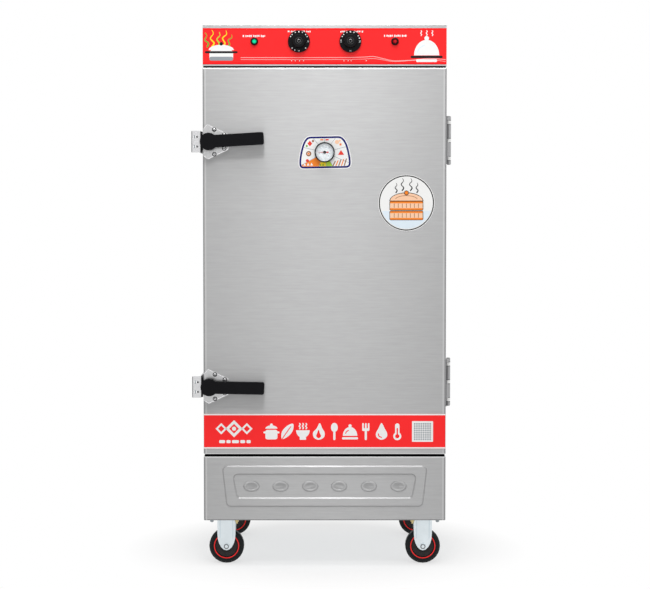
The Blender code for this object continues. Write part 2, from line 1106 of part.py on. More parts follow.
def turned_outline(points, angle, centre):
    spin = Matrix.Rotation(math.radians(angle), 2)
    return [tuple(spin @ Vector(point) + Vector(centre)) for point in points]


def latch(level):
    """One latch: base plate on the door, cam with its tongue, and the lever."""
    centre_x = latch_inset - half_width
    up = latch_z[level]
    tilt = latch_tilts[level]
    centre = (centre_x, up)
    seat = front - fit_gap
    plate_face = seat - latch_plate_thickness
    corners = [
        (-latch_plate_side, -latch_plate_foot * latch_plate_foot_share),
        (-latch_plate_side * latch_foot_point_share, -latch_plate_foot),
        (latch_plate_nose, -latch_nose_height / 2),
        (latch_plate_nose, latch_nose_height / 2),
        (-latch_plate_side * latch_top_point_share, latch_plate_top),
        (-latch_plate_side, latch_plate_top * latch_plate_top_share),
    ]
    outline = [
        (centre_x + across, up + rise) for across, rise in rounded_outline(corners, latch_plate_corner, 2)
    ]
    base = piece(
        level + "_latch_base",
        slab("latch_plate", outline, plate_face, seat),
        polished_steel,
        (centre_x, seat, up),
    )
    cam_back = plate_face - fit_gap
    cam_face = cam_back - cam_thickness
    boss_face = cam_face - cam_boss_height
    lever_back = boss_face - fit_gap
    lever_face = lever_back - lever_thickness
    stud_tip = lever_back - lever_thickness / 2
    join(base, rod(latch_stud_radius, (centre_x, seat, up), (centre_x, stud_tip, up), 16))

    tongue = cam_tongue_width / 2
    turn_in = math.degrees(math.asin(tongue / cam_radius))
    turn_out = math.degrees(math.asin(tongue / cam_reach))
    cam_points = arc((0, 0), cam_radius, turn_in - 180, 180 - turn_in, 12)
    cam_points += arc((0, 0), cam_reach, 180 - turn_out, 180 + turn_out, 4)
    cam = piece(
        level + "_latch_cam",
        slab("cam_blade", turned_outline(cam_points, tilt, centre), cam_face, cam_back),
        zinc_steel,
        (centre_x, cam_back, up),
    )
    bore = latch_stud_radius + fit_gap
    join(cam, rod(cam_boss_radius, (centre_x, cam_face + sheet, up), (centre_x, boss_face, up)))
    cut(cam, rod(bore, (centre_x, seat, up), (centre_x, boss_face - overrun, up), 16))

    arm = lever_width / 2
    neck = math.degrees(math.asin(arm / lever_head_radius))
    head = arc((0, 0), lever_head_radius, neck, 360 - neck, 18)
    tip = lever_length - lever_corner
    lever_points = head + arc((tip, lever_corner - arm), lever_corner, -90, 0, 3)
    lever_points += arc((tip, arm - lever_corner), lever_corner, 0, 90, 3)
    lever = piece(
        level + "_latch_lever",
        slab("lever_blade", turned_outline(lever_points, tilt, centre), lever_face, lever_back),
        black_plastic,
        (centre_x, lever_back, up),
    )
    soften = lever.modifiers.new("soften", "BEVEL")
    soften.width = lever_round
    soften.segments = 2
    soften.limit_method = "ANGLE"
    soften.angle_limit = math.radians(50)
    relief_start = lever_head_radius + lever_round
    relief = [
        (relief_start, -arm - overrun),
        (lever_length + overrun, -arm - overrun),
        (lever_length + overrun, arm + overrun),
        (relief_start, arm + overrun),
    ]
    under = lever_back - (lever_thickness - lever_arm_thickness) / 2
    cut(
        lever,
        slab("lever_relief", turned_outline(relief, tilt, centre), under, lever_back + overrun),
        rod(bore, (centre_x, lever_back + overrun, up), (centre_x, stud_tip - fit_gap, up), 16),
    )
    return base, cam, lever


def latch_keeper(level):
    """The bracket on the cabinet's side that carries the strike in front of the cam."""
    up = latch_z[level]
    low = up - keeper_height / 2
    high = up + keeper_height / 2
    wall = -half_width - fit_gap
    inside = -half_width - keeper_stand_off
    outside = inside - keeper_sheet
    cam_face = front - 2 * fit_gap - latch_plate_thickness - cam_thickness
    strike_back = cam_face - 2 * fit_gap
    face = strike_back - strike_depth
    foot_front = body_front + keeper_foot_inset
    foot_back = foot_front + keeper_foot
    thing = piece(
        level + "_latch_keeper",
        block((outside, face, low), (inside, foot_back, high)),
        polished_steel,
    )
    reach = outside + keeper_sheet - keeper_flange
    join(
        thing,
        block((inside - sheet, foot_front, low), (wall, foot_back, high)),
        block((reach, face, low), (inside - sheet, face + keeper_sheet, high)),
        block(
            (inside - sheet, face, up - strike_height / 2),
            (-half_width - 2 * fit_gap, strike_back, up + strike_height / 2),
        ),
    )
    slot_x = (reach + outside) / 2
    for side in (-1, 1):
        middle = up + side * keeper_slot_spacing / 2
        cut(
            thing,
            block(
                (slot_x - keeper_slot_length / 2, face - overrun, middle - keeper_slot_height / 2),
                (
                    slot_x + keeper_slot_length / 2,
                    face + keeper_sheet + overrun,
                    middle + keeper_slot_height / 2,
                ),
            ),
        )
    return thing


# Hinges


def knuckle_spans():
    """The four knuckles as (low, high) offsets from the hinge's middle, bottom to top."""
    end = hinge_length * end_knuckle_share
    half = hinge_length / 2
    bush = bush_length
    return [
        (-half, -half + end),
        (-half + end + bush, -bush / 2),
        (bush / 2, half - end - bush),
        (half - end, half),
    ]


def hinge(level):
    """One hinge: a leaf on the cabinet, a leaf on the door, and the pin with its bushes."""
    up = hinge_z[level]
    wall = half_width + fit_gap
    leaf_face = wall + hinge_leaf_thickness
    half = hinge_length / 2
    spans = knuckle_spans()
    bore = hinge_pin_radius + fit_gap
    leaves = []
    for name, side, owned in (("cabinet", 1, (0, 2)), ("door", -1, (1, 3))):
        start = hinge_y + side * hinge_leaf_gap / 2
        end = start + side * hinge_leaf_width
        low_y = min(start, end)
        high_y = max(start, end)
        thing = piece(
            "{}_hinge_{}_leaf".format(level, name),
            block((wall, low_y, up - half), (leaf_face, high_y, up + half)),
            polished_steel,
            (hinge_x, hinge_y, up),
        )
        for k in owned:
            low, high = spans[k]
            web_end = start + side * hinge_web_thickness
            web_low = min(start, web_end)
            web_high = max(start, web_end)
            join(
                thing,
                block((wall, web_low, up + low), (hinge_x, web_high, up + high)),
                rod(barrel_radius, (hinge_x, hinge_y, up + low), (hinge_x, hinge_y, up + high)),
            )
        cut(
            thing,
            rod(
                bore,
                (hinge_x, hinge_y, up - half - overrun),
                (hinge_x, hinge_y, up + half + overrun),
                12,
            ),
        )
        leaves.append(thing)
    radius = hinge_pin_radius
    bush = barrel_radius - fit_gap
    top = half + fit_gap + pin_head_height
    profile = [(0, top), (pin_head_radius, top)]
    profile += [(pin_head_radius, half + fit_gap), (radius, half + fit_gap)]
    for upper, lower in zip(reversed(spans[1:]), reversed(spans[:-1])):
        high = upper[0] - fit_gap
        low = lower[1] + fit_gap
        profile += [(radius, high), (bush, high), (bush, low), (radius, low)]
    profile += [(radius, -half - fit_gap), (pin_head_radius, -half - fit_gap)]
    profile += [(pin_head_radius, -top), (0, -top)]
    pin = turned(level + "_hinge_pin", profile, polished_steel, (0, 0, 1), (hinge_x, hinge_y, up), 12)
    return leaves[0], leaves[1], pin


# Casters


def leg_outline(x, brow=0):
    """A fork leg seen from the front. brow is how far its top reaches out past the wheel."""
    half = caster_leg_width / 2
    top = leg_top(brow)
    centre = axle_height - leg_tip_drop + leg_taper_height
    points = []
    steps = 10
    for i in range(steps + 1):
        angle = math.pi * (1 + i / steps)
        points.append((x + half * math.cos(angle), centre + leg_taper_height * math.sin(angle)))
    if brow > 0:
        points += [(x + brow, top - swivel_brow), (x + brow, top), (x - half, top)]
    elif brow < 0:
        points += [(x + half, top), (x + brow, top), (x + brow, top - swivel_brow)]
    else:
        points += [(x + half, top), (x - half, top)]
    return points


def leg_top(brow):
    """Where a leg ends, half way up the fixed plate, or the turning web if it has a brow."""
    plate_bottom = casing_bottom - fit_gap - caster_sheet
    if brow:
        return plate_bottom - swivel_race_height - fit_gap - caster_sheet / 2
    return plate_bottom + caster_sheet / 2


def fork_legs(x, y, brow=0):
    """The two legs, in front of the wheel and behind it."""
    legs = []
    inner = wheel_width / 2 + caster_leg_gap
    for side in (-1, 1):
        near = y + side * inner
        far = y + side * (inner + caster_sheet)
        legs.append(slab("fork_leg", leg_outline(x, brow), min(near, far), max(near, far)))
    return legs


def axle_hole(x, y):
    reach = wheel_width / 2 + caster_leg_gap + caster_sheet + overrun
    return rod(axle_radius + fit_gap, (x, y - reach, axle_height), (x, y + reach, axle_height), 16)


def caster_wheel(name, x, y):
    """A wheel with a hub, a dished web and a rounded tread."""
    outer = wheel_diameter / 2
    half = wheel_width / 2
    rim = outer - wheel_rim_width
    web = half - wheel_recess
    bore = axle_radius + fit_gap
    soft = wheel_web_slope
    profile = [
        (bore, half),
        (wheel_hub_radius, half),
        (wheel_hub_radius + soft, web),
        (rim - soft, web),
        (rim, half),
        (outer - tread_round, half),
        (outer, half - tread_round),
        (outer, tread_round - half),
        (outer - tread_round, -half),
        (rim, -half),
        (rim - soft, -web),
        (wheel_hub_radius + soft, -web),
        (wheel_hub_radius, -half),
        (bore, -half),
    ]
    return turned(name, profile, black_tyre, (0, -1, 0), (x, y, axle_height), 28, ring=True)


def caster_axle(name, x, y):
    """The axle bolt: hexagon head in front, shank through the wheel and a nut behind."""
    face = wheel_width / 2 + caster_leg_gap + caster_sheet + fit_gap
    end = face + axle_head_height
    thing = piece(
        name,
        rod(axle_radius, (x, y - end + sheet, axle_height), (x, y + end + sheet, axle_height), 16),
        zinc_steel,
        (x, y, axle_height),
    )
    for near, far in ((y - face, y - end), (y + face, y + end)):
        join(thing, rod(axle_head_radius, (x, near, axle_height), (x, far, axle_height), 6))
    return thing


def caster_plate_block(x, y):
    top = casing_bottom - fit_gap
    across = caster_plate_width / 2
    along = caster_plate_depth / 2
    return block((x - across, y - along, top - caster_sheet), (x + across, y + along, top))


def front_caster(side_name, side):
    """A fixed caster: plate and fork in one pressing, wheel and axle."""
    x = side * wheel_x
    y = front_wheel_y
    fork = piece(
        "front_{}_caster_fork".format(side_name), caster_plate_block(x, y), zinc_steel, (x, y, axle_height)
    )
    join(fork, *fork_legs(x, y))
    cut(fork, axle_hole(x, y))
    wheel = caster_wheel("front_{}_caster_wheel".format(side_name), x, y)
    axle = caster_axle("front_{}_caster_axle".format(side_name), x, y)
    hold(wheel, fork)
    hold(axle, fork)


def rear_caster(side_name, side):
    """A swivel caster: plate with race and kingpin, fork that turns, wheel and axle."""
    x = side * wheel_x
    y = rear_wheel_y
    pivot = x + side * swivel_trail
    plate = piece(
        "rear_{}_caster_plate".format(side_name),
        caster_plate_block(pivot - side * swivel_trail / 2, y),
        zinc_steel,
        (pivot, y, casing_bottom),
    )
    race_top = casing_bottom - fit_gap - caster_sheet
    race_bottom = race_top - swivel_race_height
    web_top = race_bottom - fit_gap
    web_bottom = web_top - caster_sheet
    rivet_top = web_bottom - fit_gap
    join(
        plate,
        rod(swivel_race_radius, (pivot, y, race_top + sheet), (pivot, y, race_bottom), 24),
        rod(kingpin_radius, (pivot, y, race_bottom + sheet), (pivot, y, rivet_top - sheet), 16),
        rod(kingpin_head_radius, (pivot, y, rivet_top), (pivot, y, rivet_top - kingpin_head_height), 16),
    )
    brow = side * (swivel_trail + swivel_race_radius)
    inner_edge = x - side * (caster_leg_width / 2 + sheet)
    outer_edge = x + brow + side * sheet
    along = wheel_width / 2 + caster_leg_gap + caster_sheet / 2
    fork = piece(
        "rear_{}_caster_fork".format(side_name),
        block(
            (min(inner_edge, outer_edge), y - along, web_bottom),
            (max(inner_edge, outer_edge), y + along, web_top),
        ),
        zinc_steel,
        (pivot, y, web_top),
    )
    join(fork, *fork_legs(x, y, brow))
    cut(
        fork,
        axle_hole(x, y),
        rod(
            kingpin_radius + fit_gap,
            (pivot, y, web_top + overrun),
            (pivot, y, web_bottom - overrun),
            16,
        ),
    )
    wheel = caster_wheel("rear_{}_caster_wheel".format(side_name), x, y)
    axle = caster_axle("rear_{}_caster_axle".format(side_name), x, y)
    hold(wheel, fork)
    hold(axle, fork)


# Water and steam


def water_tank():
    """The open tank under the chamber floor, hung by its flange."""
    across = tank_width / 2
    along = tank_depth / 2
    tub = block((-across, -along, tank_bottom), (across, along, tank_top))
    thing = piece("water_tank", tub, liner_steel)
    join(
        thing,
        block(
            (-across - tank_flange, -along - tank_flange, tank_top - tank_sheet),
            (across + tank_flange, along + tank_flange, tank_top),
        ),
    )
    cut(
        thing,
        block(
            (tank_sheet - across, tank_sheet - along, tank_bottom + tank_sheet),
            (across - tank_sheet, along - tank_sheet, tank_top + overrun),
        ),
    )
    drain_z = tank_bottom + drain_rise
    cut(
        thing,
        rod(
            drain_pipe_radius + fit_gap,
            (drain_offset, along - 2 * tank_sheet, drain_z),
            (drain_offset, along + tank_sheet, drain_z),
        ),
    )
    for across_heater in heater_ends():
        cut(
            thing,
            rod(
                heater_radius + fit_gap,
                (across_heater, -along - tank_sheet, heater_height()),
                (across_heater, 2 * tank_sheet - along, heater_height()),
                16,
            ),
        )
    return thing


def heater_height():
    return tank_bottom + heater_rise


def heater_ends():
    """The outer two of the element's four runs."""
    reach = (heater_runs - 1) * heater_run_spacing / 2
    return (-reach, reach)


def heating_element():
    """A sheathed tube bent in even runs, with both ends through the tank's front wall."""
    radius = heater_run_spacing / 2
    front_end = -tank_depth / 2 - heater_terminal
    far = tank_depth / 2 - heater_end_gap - radius
    near = heater_end_gap - tank_depth / 2 + radius
    left, right = heater_ends()
    path = [(left, front_end)]
    for bend in range(heater_runs - 1):
        middle = left + (bend + 0.5) * heater_run_spacing
        if bend % 2:
            path += arc((middle, near), radius, 180, 360, 6)
        else:
            path += arc((middle, far), radius, 180, 0, 6)
    path.append((right, front_end))
    curve = bpy.data.curves.new("heater_path", "CURVE")
    curve.dimensions = "3D"
    curve.bevel_depth = heater_radius
    curve.bevel_resolution = 2
    curve.use_fill_caps = True
    spline = curve.splines.new("POLY")
    spline.points.add(len(path) - 1)
    for place, (across, along) in zip(spline.points, path):
        place.co = (across, along, heater_height(), 1)
    holder = bpy.data.objects.new("heater_path", curve)
    cutters.objects.link(holder)
    seen = holder.evaluated_get(bpy.context.evaluated_depsgraph_get())
    mesh = bpy.data.meshes.new_from_object(seen)
    bm = bmesh.new()
    bm.from_mesh(mesh)
    bmesh.ops.remove_doubles(bm, verts=bm.verts, dist=0.000001)
    bmesh.ops.recalc_face_normals(bm, faces=bm.faces)
    bpy.data.objects.remove(holder, do_unlink=True)
    bpy.data.curves.remove(curve)
    bpy.data.meshes.remove(mesh)
    thing = piece("heating_element", bm, heater_sheath, smooth=True)
    wall = -tank_depth / 2 - fit_gap
    for across in heater_ends():
        join(
            thing,
            rod(
                heater_collar_radius,
                (across, wall, heater_height()),
                (across, wall - heater_collar_height, heater_height()),
                6,
            ),
        )
    return thing


def steam_plate():
    """The slotted plate that lies over the tank's opening."""
    low = chamber_bottom + fit_gap
    across = tank_width / 2 - well_margin + steam_plate_lap
    along = tank_depth / 2 - well_margin + steam_plate_lap
    high = low + steam_plate_thickness
    thing = piece("steam_plate", block((-across, -along, low), (across, along, high)), liner_steel)
    column_pitch = 2 * across / (steam_slot_columns + 1)
    row_pitch = 2 * along / (steam_slot_rows + 1)
    slots = bmesh.new()
    for row in range(steam_slot_rows):
        for column in range(steam_slot_columns):
            x = (column + 1) * column_pitch - across
            y = (row + 1) * row_pitch - along
            slot = block(
                (x - steam_slot_width / 2, y - steam_slot_length / 2, low - overrun),
                (x + steam_slot_width / 2, y + steam_slot_length / 2, high + overrun),
            )
            slot_mesh = bpy.data.meshes.new("slot")
            slot.to_mesh(slot_mesh)
            slots.from_mesh(slot_mesh)
            bpy.data.meshes.remove(slot_mesh)
            slot.free()
    return cut(thing, slots)


# Racks and tray


def runner_z(level):
    """The top of a runner, counted from the lowest level."""
    return first_level + level * level_spacing


def tray_rack(name, side):
    """Two uprights and a ladder of runners on one wall of the chamber."""
    wall = side * (chamber_half - fit_gap)
    low_z = chamber_bottom + fit_gap
    high_z = runner_z(tray_levels - 1) + first_level_rise / 2
    face = wall - side * upright_thickness

    def post(y):
        return block(
            (min(wall, face), y - upright_width / 2, low_z),
            (max(wall, face), y + upright_width / 2, high_z),
        )

    thing = piece(name, post(-upright_spacing / 2), liner_steel)
    join(thing, post(upright_spacing / 2))
    edge = wall - side * runner_width
    inner = wall - side * upright_thickness / 2
    root = inner - side * runner_sheet
    for level in range(tray_levels):
        top = runner_z(level)
        outline = [
            (inner, top - runner_lip),
            (root, top - runner_lip),
            (root, top - runner_sheet),
            (edge, top - runner_sheet),
            (edge, top),
            (inner, top),
        ]
        join(thing, slab("runner", outline, -runner_length / 2, runner_length / 2))
    return thing


def rounded_rectangle(across, along, corner):
    corners = [(-across, -along), (across, -along), (across, along), (-across, along)]
    return rounded_outline(corners, corner)


def at_height(outline, height):
    return [(across, along, height) for across, along in outline]


def rice_tray():
    """One tray with sloping walls, held by its rim on a pair of runners."""
    rim_low = runner_z(tray_level) + fit_gap
    rim_high = rim_low + tray_sheet
    low = rim_high - tray_height
    across = tray_length / 2
    along = tray_breadth / 2
    mouth = rounded_rectangle(across - tray_rim, along - tray_rim, tray_corner)
    foot_x = across - tray_rim - tray_draft
    foot_y = along - tray_rim - tray_draft
    foot = rounded_rectangle(foot_x, foot_y, tray_corner - tray_draft)
    thing = piece(
        "rice_tray", loft([at_height(foot, low), at_height(mouth, rim_low + tray_sheet / 2)]), liner_steel
    )
    rim = rounded_rectangle(across, along, tray_corner)
    join(thing, slab("tray_rim", rim, rim_low, rim_high, "Z"))
    mouth_in = rounded_rectangle(across - tray_rim - tray_sheet, along - tray_rim - tray_sheet, tray_corner)
    foot_in = rounded_rectangle(foot_x - tray_sheet, foot_y - tray_sheet, tray_corner - tray_draft)
    cut(thing, loft([at_height(foot_in, low + tray_sheet), at_height(mouth_in, rim_high + overrun)]))
    return thing


# Rear fittings


def drain_valve():
    """The drain pipe from the tank, with a valve body behind the cabinet."""
    up = tank_bottom + drain_rise
    x = drain_offset
    start = tank_depth / 2 - 2 * tank_sheet
    body = back + fit_gap
    outlet = body + valve_length
    end = outlet + valve_nozzle_length
    thing = piece("drain_valve", rod(drain_pipe_radius, (x, start, up), (x, end, up), 16), zinc_steel)
    stem = body + valve_length / 2
    join(
        thing,
        rod(valve_radius, (x, body, up), (x, outlet, up), 6),
        rod(valve_stem_radius, (x, stem, up + valve_radius / 2), (x, stem, valve_top()), 16),
    )
    cut(thing, rod(drain_bore_radius, (x, start - overrun, up), (x, end + overrun, up), 16))
    return thing


def valve_top():
    return tank_bottom + drain_rise + valve_radius + valve_stem_height


def drain_lever():
    """The flat handle of the drain valve, across the pipe when it is shut."""
    x = drain_offset
    y = back + fit_gap + valve_length / 2
    high = valve_top()
    low = high - valve_lever_thickness
    half = valve_lever_width / 2
    thing = piece(
        "drain_lever",
        block(
            (x, y - half, low),
            (x + valve_lever_length, y + half, high),
            upright_edges,
            valve_lever_corner,
        ),
        red_paint,
        (x, y, low),
    )
    join(thing, rod(valve_eye_radius, (x, y, low), (x, y, high), 16))
    return cut(
        thing,
        rod(valve_stem_radius + fit_gap, (x, y, low - overrun), (x, y, high + overrun), 16),
    )


def cable_gland():
    """The gland in the back panel that the supply lead would pass through."""
    outside = fit_gap
    inside = -sheet - fit_gap
    profile = [
        (gland_cap_radius * gland_taper_share, outside + gland_nut_height + gland_cap_height),
        (gland_cap_radius, outside + gland_nut_height + gland_cap_height * gland_taper_share),
        (gland_cap_radius, outside + gland_nut_height),
        (gland_nut_radius, outside + gland_nut_height),
        (gland_nut_radius, outside),
        (gland_thread_radius, outside),
        (gland_thread_radius, inside),
        (gland_nut_radius, inside),
        (gland_nut_radius, inside - gland_nut_height),
        (gland_bore_radius, inside - gland_nut_height),
        (gland_bore_radius, outside + gland_nut_height + gland_cap_height),
    ]
    place = (gland_offset, back, casing_bottom + gland_rise)
    return turned("cable_gland", profile, black_plastic, (0, 1, 0), place, 16, ring=True)


def build():
    outer_casing()
    control_panel()
    lower_front_panel()
    back_panel()
    base_frame()
    front_frame()
    inner_liner()
    insulation_jacket()

    control_overlay()
    timer_x = -knob_spacing / 2
    thermostat_x = knob_spacing / 2
    switch_unit("timer_unit", timer_x, switch_width, switch_height)
    switch_unit("thermostat_unit", thermostat_x, switch_width, switch_width)
    control_knob("timer_knob", timer_x)
    control_knob("thermostat_knob", thermostat_x)
    pilot_lamp("heating_lamp", -lamp_spacing / 2, green_lens)
    pilot_lamp("power_lamp", lamp_spacing / 2, red_lens)

    door_axis = bpy.data.objects.new("door_axis", None)
    door_axis.location = (hinge_x, hinge_y, door_bottom)
    parts.objects.link(door_axis)
    door_pieces = [door_outer_skin(), door_inner_skin(), door_insulation(), door_gasket(), door_band()]
    door_pieces += thermometer()
    for level in ("upper", "lower"):
        door_pieces += latch(level)
        latch_keeper(level)
        door_pieces.append(hinge(level)[1])
    for thing in door_pieces:
        hold(thing, door_axis)

    for side_name, side in (("left", -1), ("right", 1)):
        front_caster(side_name, side)
        rear_caster(side_name, side)

    water_tank()
    heating_element()
    steam_plate()
    tray_rack("rack_left", -1)
    tray_rack("rack_right", 1)
    rice_tray()
    drain_valve()
    drain_lever()
    cable_gland()


build()
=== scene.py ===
"""Looks of the rice steamer cabinet: materials, printed films, fasteners, floor, lights and camera."""

import math

import bmesh
import bpy
from mathutils import Matrix, Vector


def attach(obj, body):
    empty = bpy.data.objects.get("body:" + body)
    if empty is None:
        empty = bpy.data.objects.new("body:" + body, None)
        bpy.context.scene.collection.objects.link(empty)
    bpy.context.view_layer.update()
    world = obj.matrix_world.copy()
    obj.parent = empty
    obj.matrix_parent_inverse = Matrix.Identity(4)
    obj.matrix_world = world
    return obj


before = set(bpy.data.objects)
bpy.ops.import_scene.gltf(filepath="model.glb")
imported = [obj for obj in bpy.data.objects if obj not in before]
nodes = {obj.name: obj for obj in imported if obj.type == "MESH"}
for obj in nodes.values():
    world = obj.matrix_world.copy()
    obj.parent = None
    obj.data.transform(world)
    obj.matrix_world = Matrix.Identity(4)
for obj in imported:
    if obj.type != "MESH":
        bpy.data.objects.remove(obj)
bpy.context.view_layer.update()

mm = 0.001

# Planes and places of the cabinet, in metres
FILM_FACE = -0.3007
DOOR_FACE = -0.3000
BACK_FACE = 0.3000
FOLD_X = 0.3460
FOLD_Y = -0.2850
KNOB_X = 0.0737
CONTROL_Z = 1.5173
SKIRT_FACE = -0.3072
CAP_FACE = -0.3249
CAP_RIM_FOOT = -0.3262
LAMP_X = 0.20125
COLLAR_FOOT = -0.3030
LENS_BACK = -0.30375
GAUGE = (0.0, 1.2010)
DIAL_FACE = -0.3056
GLASS_FOOT = -0.3105
STICKER = (0.2350, 1.0560)
LATCH_X = -0.3315
LATCH_Z = {"upper": 1.2310, "lower": 0.5265}
LATCH_FACE = -0.3023
KEEPER_X = -0.3652
KEEPER_FACE = -0.3150
STRIKE_X = -0.3569
STRIKE_Y = -0.3079
HINGE = (0.3600, -0.2525)
HINGE_Z = {"upper": 1.2370, "lower": 0.5360}
WHEEL_X = 0.2880
WHEEL_Y = 0.2250
WEB_RADIUS = 0.0335
AXLE_Z = 0.0510
AXLE_HEAD_FOOT = -0.2513
FORK_FACE = -0.24605
PLATE_Z = 0.1337
LAYER = 0.08 * mm
FRONT = (0, -1, 0)


def added(name, data):
    """A new object in the scene."""
    made = bpy.data.objects.new(name, data)
    bpy.context.scene.collection.objects.link(made)
    return made


def modelled(name, mesh, materials):
    """A new object of a bmesh."""
    data = bpy.data.meshes.new(name)
    mesh.to_mesh(data)
    mesh.free()
    for material in materials:
        data.materials.append(material)
    return added(name, data)


# Node trees


class Tree:
    """The node tree of a material or world, with short calls to add and link nodes."""

    def __init__(self, owner):
        owner.use_nodes = True
        self.owner = owner
        self.tree = owner.node_tree
        self.shader = self.tree.nodes.get("Principled BSDF")

    def add(self, kind, inputs=None, **settings):
        made = self.tree.nodes.new(kind)
        for key, value in settings.items():
            setattr(made, key, value)
        for key, value in (inputs or {}).items():
            made.inputs[key].default_value = value
        return made

    def link(self, source, target):
        self.tree.links.new(source, target)

    def place(self, scale):
        """Object coordinates, stretched."""
        coordinates = self.add("ShaderNodeTexCoord")
        mapping = self.add("ShaderNodeMapping", {"Scale": scale})
        self.link(coordinates.outputs["Object"], mapping.inputs["Vector"])
        return mapping.outputs["Vector"]

    def parts(self, vector):
        """The X, Y and Z of a vector."""
        made = self.add("ShaderNodeSeparateXYZ")
        self.link(vector, made.inputs["Vector"])
        return made.outputs

    def noise(self, vector, scale=1.0, detail=2.0, roughness=0.5):
        made = self.add("ShaderNodeTexNoise", {"Scale": scale, "Detail": detail, "Roughness": roughness})
        self.link(vector, made.inputs["Vector"])
        return made.outputs["Fac"]

    def remap(self, value, low, high, start=0.3, end=0.7):
        ends = {"From Min": start, "From Max": end, "To Min": low, "To Max": high}
        made = self.add("ShaderNodeMapRange", ends)
        self.link(value, made.inputs["Value"])
        return made.outputs["Result"]

    def maths(self, operation, first, second):
        made = self.add("ShaderNodeMath", operation=operation)
        for socket, value in zip(made.inputs, (first, second)):
            if isinstance(value, (int, float)):
                socket.default_value = value
            else:
                self.link(value, socket)
        return made.outputs["Value"]

    def mix(self, factor, first, second, blend="MIX"):
        """Mix two colours, each an RGB triple or a socket."""
        made = self.add("ShaderNodeMix", data_type="RGBA", blend_type=blend)
        if isinstance(factor, (int, float)):
            made.inputs["Factor"].default_value = factor
        else:
            self.link(factor, made.inputs["Factor"])
        for name, value in (("A", first), ("B", second)):
            socket = [s for s in made.inputs if s.name == name and s.type == "RGBA"][0]
            if isinstance(value, (tuple, list)):
                socket.default_value = (*value, 1)
            else:
                self.link(value, socket)
        return [s for s in made.outputs if s.type == "RGBA"][0]

    def bump(self, height, strength, distance):
        made = self.add("ShaderNodeBump", {"Strength": strength, "Distance": distance})
        self.link(height, made.inputs["Height"])
        self.link(made.outputs["Normal"], self.shader.inputs["Normal"])

    def set(self, **values):
        for key, value in values.items():
            name = key.replace("_", " ").title().replace("Ior", "IOR")
            if name.endswith("Color"):
                value = (*value, 1)
            self.shader.inputs[name].default_value = value

    def colour(self, socket):
        self.link(socket, self.shader.inputs["Base Color"])

    def rough(self, socket):
        self.link(socket, self.shader.inputs["Roughness"])


def shade(colour, factor):
    return tuple(min(channel * factor, 1.0) for channel in colour)


def brushed(name, colour, roughness, contrast=0.05, along=9.0, fine=1100.0, bump=0.12, stretch=0.0, painted_lines=()):
    """Brushed sheet metal: grain along the width on walls, and along X on level faces.

    painted_lines are painted highlight and shade lines along a front face's folded edges: (axis, centre, half
    width, tone factor).
    """
    t = Tree(bpy.data.materials.new(name))
    t.set(metallic=1.0, anisotropic=stretch, anisotropic_rotation=0.25)
    normal = t.parts(t.add("ShaderNodeNewGeometry").outputs["Normal"])
    level = t.maths("GREATER_THAN", t.maths("ABSOLUTE", normal["Z"], 0.0), 0.7)
    noises = []
    for across, up in ((along, fine), (along * 2.5, fine / 6)):
        on_wall, on_level = t.place((across, across, up)), t.place((across, up, across))
        noises.append(t.noise(t.mix(level, on_wall, on_level), 1.0, 2.0, 0.6))
    grain, streak = noises
    cloud = t.noise(t.place((1.7, 1.7, 2.6)), 1.0, 2.0, 0.5)
    tone = t.mix(t.remap(grain, 0.0, 1.0), shade(colour, 1 - contrast), shade(colour, 1 + contrast))
    tone = t.mix(t.remap(streak, 0.0, contrast * 2.4), tone, shade(colour, 0.65))
    tone = t.mix(t.remap(cloud, 0.0, contrast * 2), tone, shade(colour, 1.3))
    # Painted highlight and shade lines along the folded edges
    if painted_lines:
        coordinates = t.add("ShaderNodeTexCoord")
        spot = t.parts(coordinates.outputs["Object"])
        front = t.maths("LESS_THAN", t.parts(coordinates.outputs["Normal"])["Y"], -0.3)
        for axis, centre, half, factor in painted_lines:
            off = t.maths("SUBTRACT", t.maths("ABSOLUTE", spot[axis], 0.0), centre)
            line = t.remap(t.maths("ABSOLUTE", off, 0.0), 1.0, 0.0, half * 0.75, half * 1.25)
            tone = t.mix(t.maths("MULTIPLY", line, front), tone, shade(colour, factor))
    t.colour(tone)
    t.rough(t.remap(streak, roughness - 0.02, roughness + 0.02))
    t.bump(grain, bump, 0.01 * mm)
    return t.owner


def fine_steel(name, colour, roughness, contrast=0.03, bump=0.04):
    """Steel of a finer grain, for small pieces."""
    return brushed(name, colour, roughness, contrast, 60.0, 700.0, bump)


def mottled(
    name, colour, roughness, metallic=0.0, spot=180.0, contrast=0.12, bump=0.1, depth=0.1, gloss=0.35
):
    """An even finish with fine grain, slight colour variation and a worn gloss."""
    t = Tree(bpy.data.materials.new(name))
    t.set(metallic=metallic, specular_ior_level=0.5 if metallic else gloss)
    base = t.place((1.0, 1.0, 1.0))
    fine = t.noise(base, spot * 6, 3.0, 0.6)
    broad = t.noise(base, spot / 6, 3.0, 0.55)
    tone = t.mix(t.remap(broad, 0.0, 1.0), shade(colour, 1 - contrast), shade(colour, 1 + contrast))
    t.colour(t.mix(t.remap(fine, 0.0, contrast), tone, shade(colour, 0.6)))
    t.rough(t.remap(broad, max(roughness - 0.06, 0.02), roughness + 0.06))
    t.bump(fine, bump, depth * mm)
    return t.owner


def film(name, colour, roughness=0.32, glow=0.0):
    """Printed film or ink with a faint orange-peel surface."""
    t = Tree(bpy.data.materials.new(name))
    t.set(specular_ior_level=0.22)
    base = t.place((1.0, 1.0, 1.0))
    broad = t.noise(base, 9.0, 2.0, 0.5)
    fine = t.noise(base, 700.0, 2.0, 0.5)
    t.colour(t.mix(t.remap(broad, 0.0, 1.0), shade(colour, 0.97), shade(colour, 1.03)))
    t.rough(t.remap(fine, roughness - 0.03, roughness + 0.05))
    t.bump(fine, 0.04, 0.02 * mm)
    if glow:
        t.set(emission_color=colour, emission_strength=glow)
    return t.owner
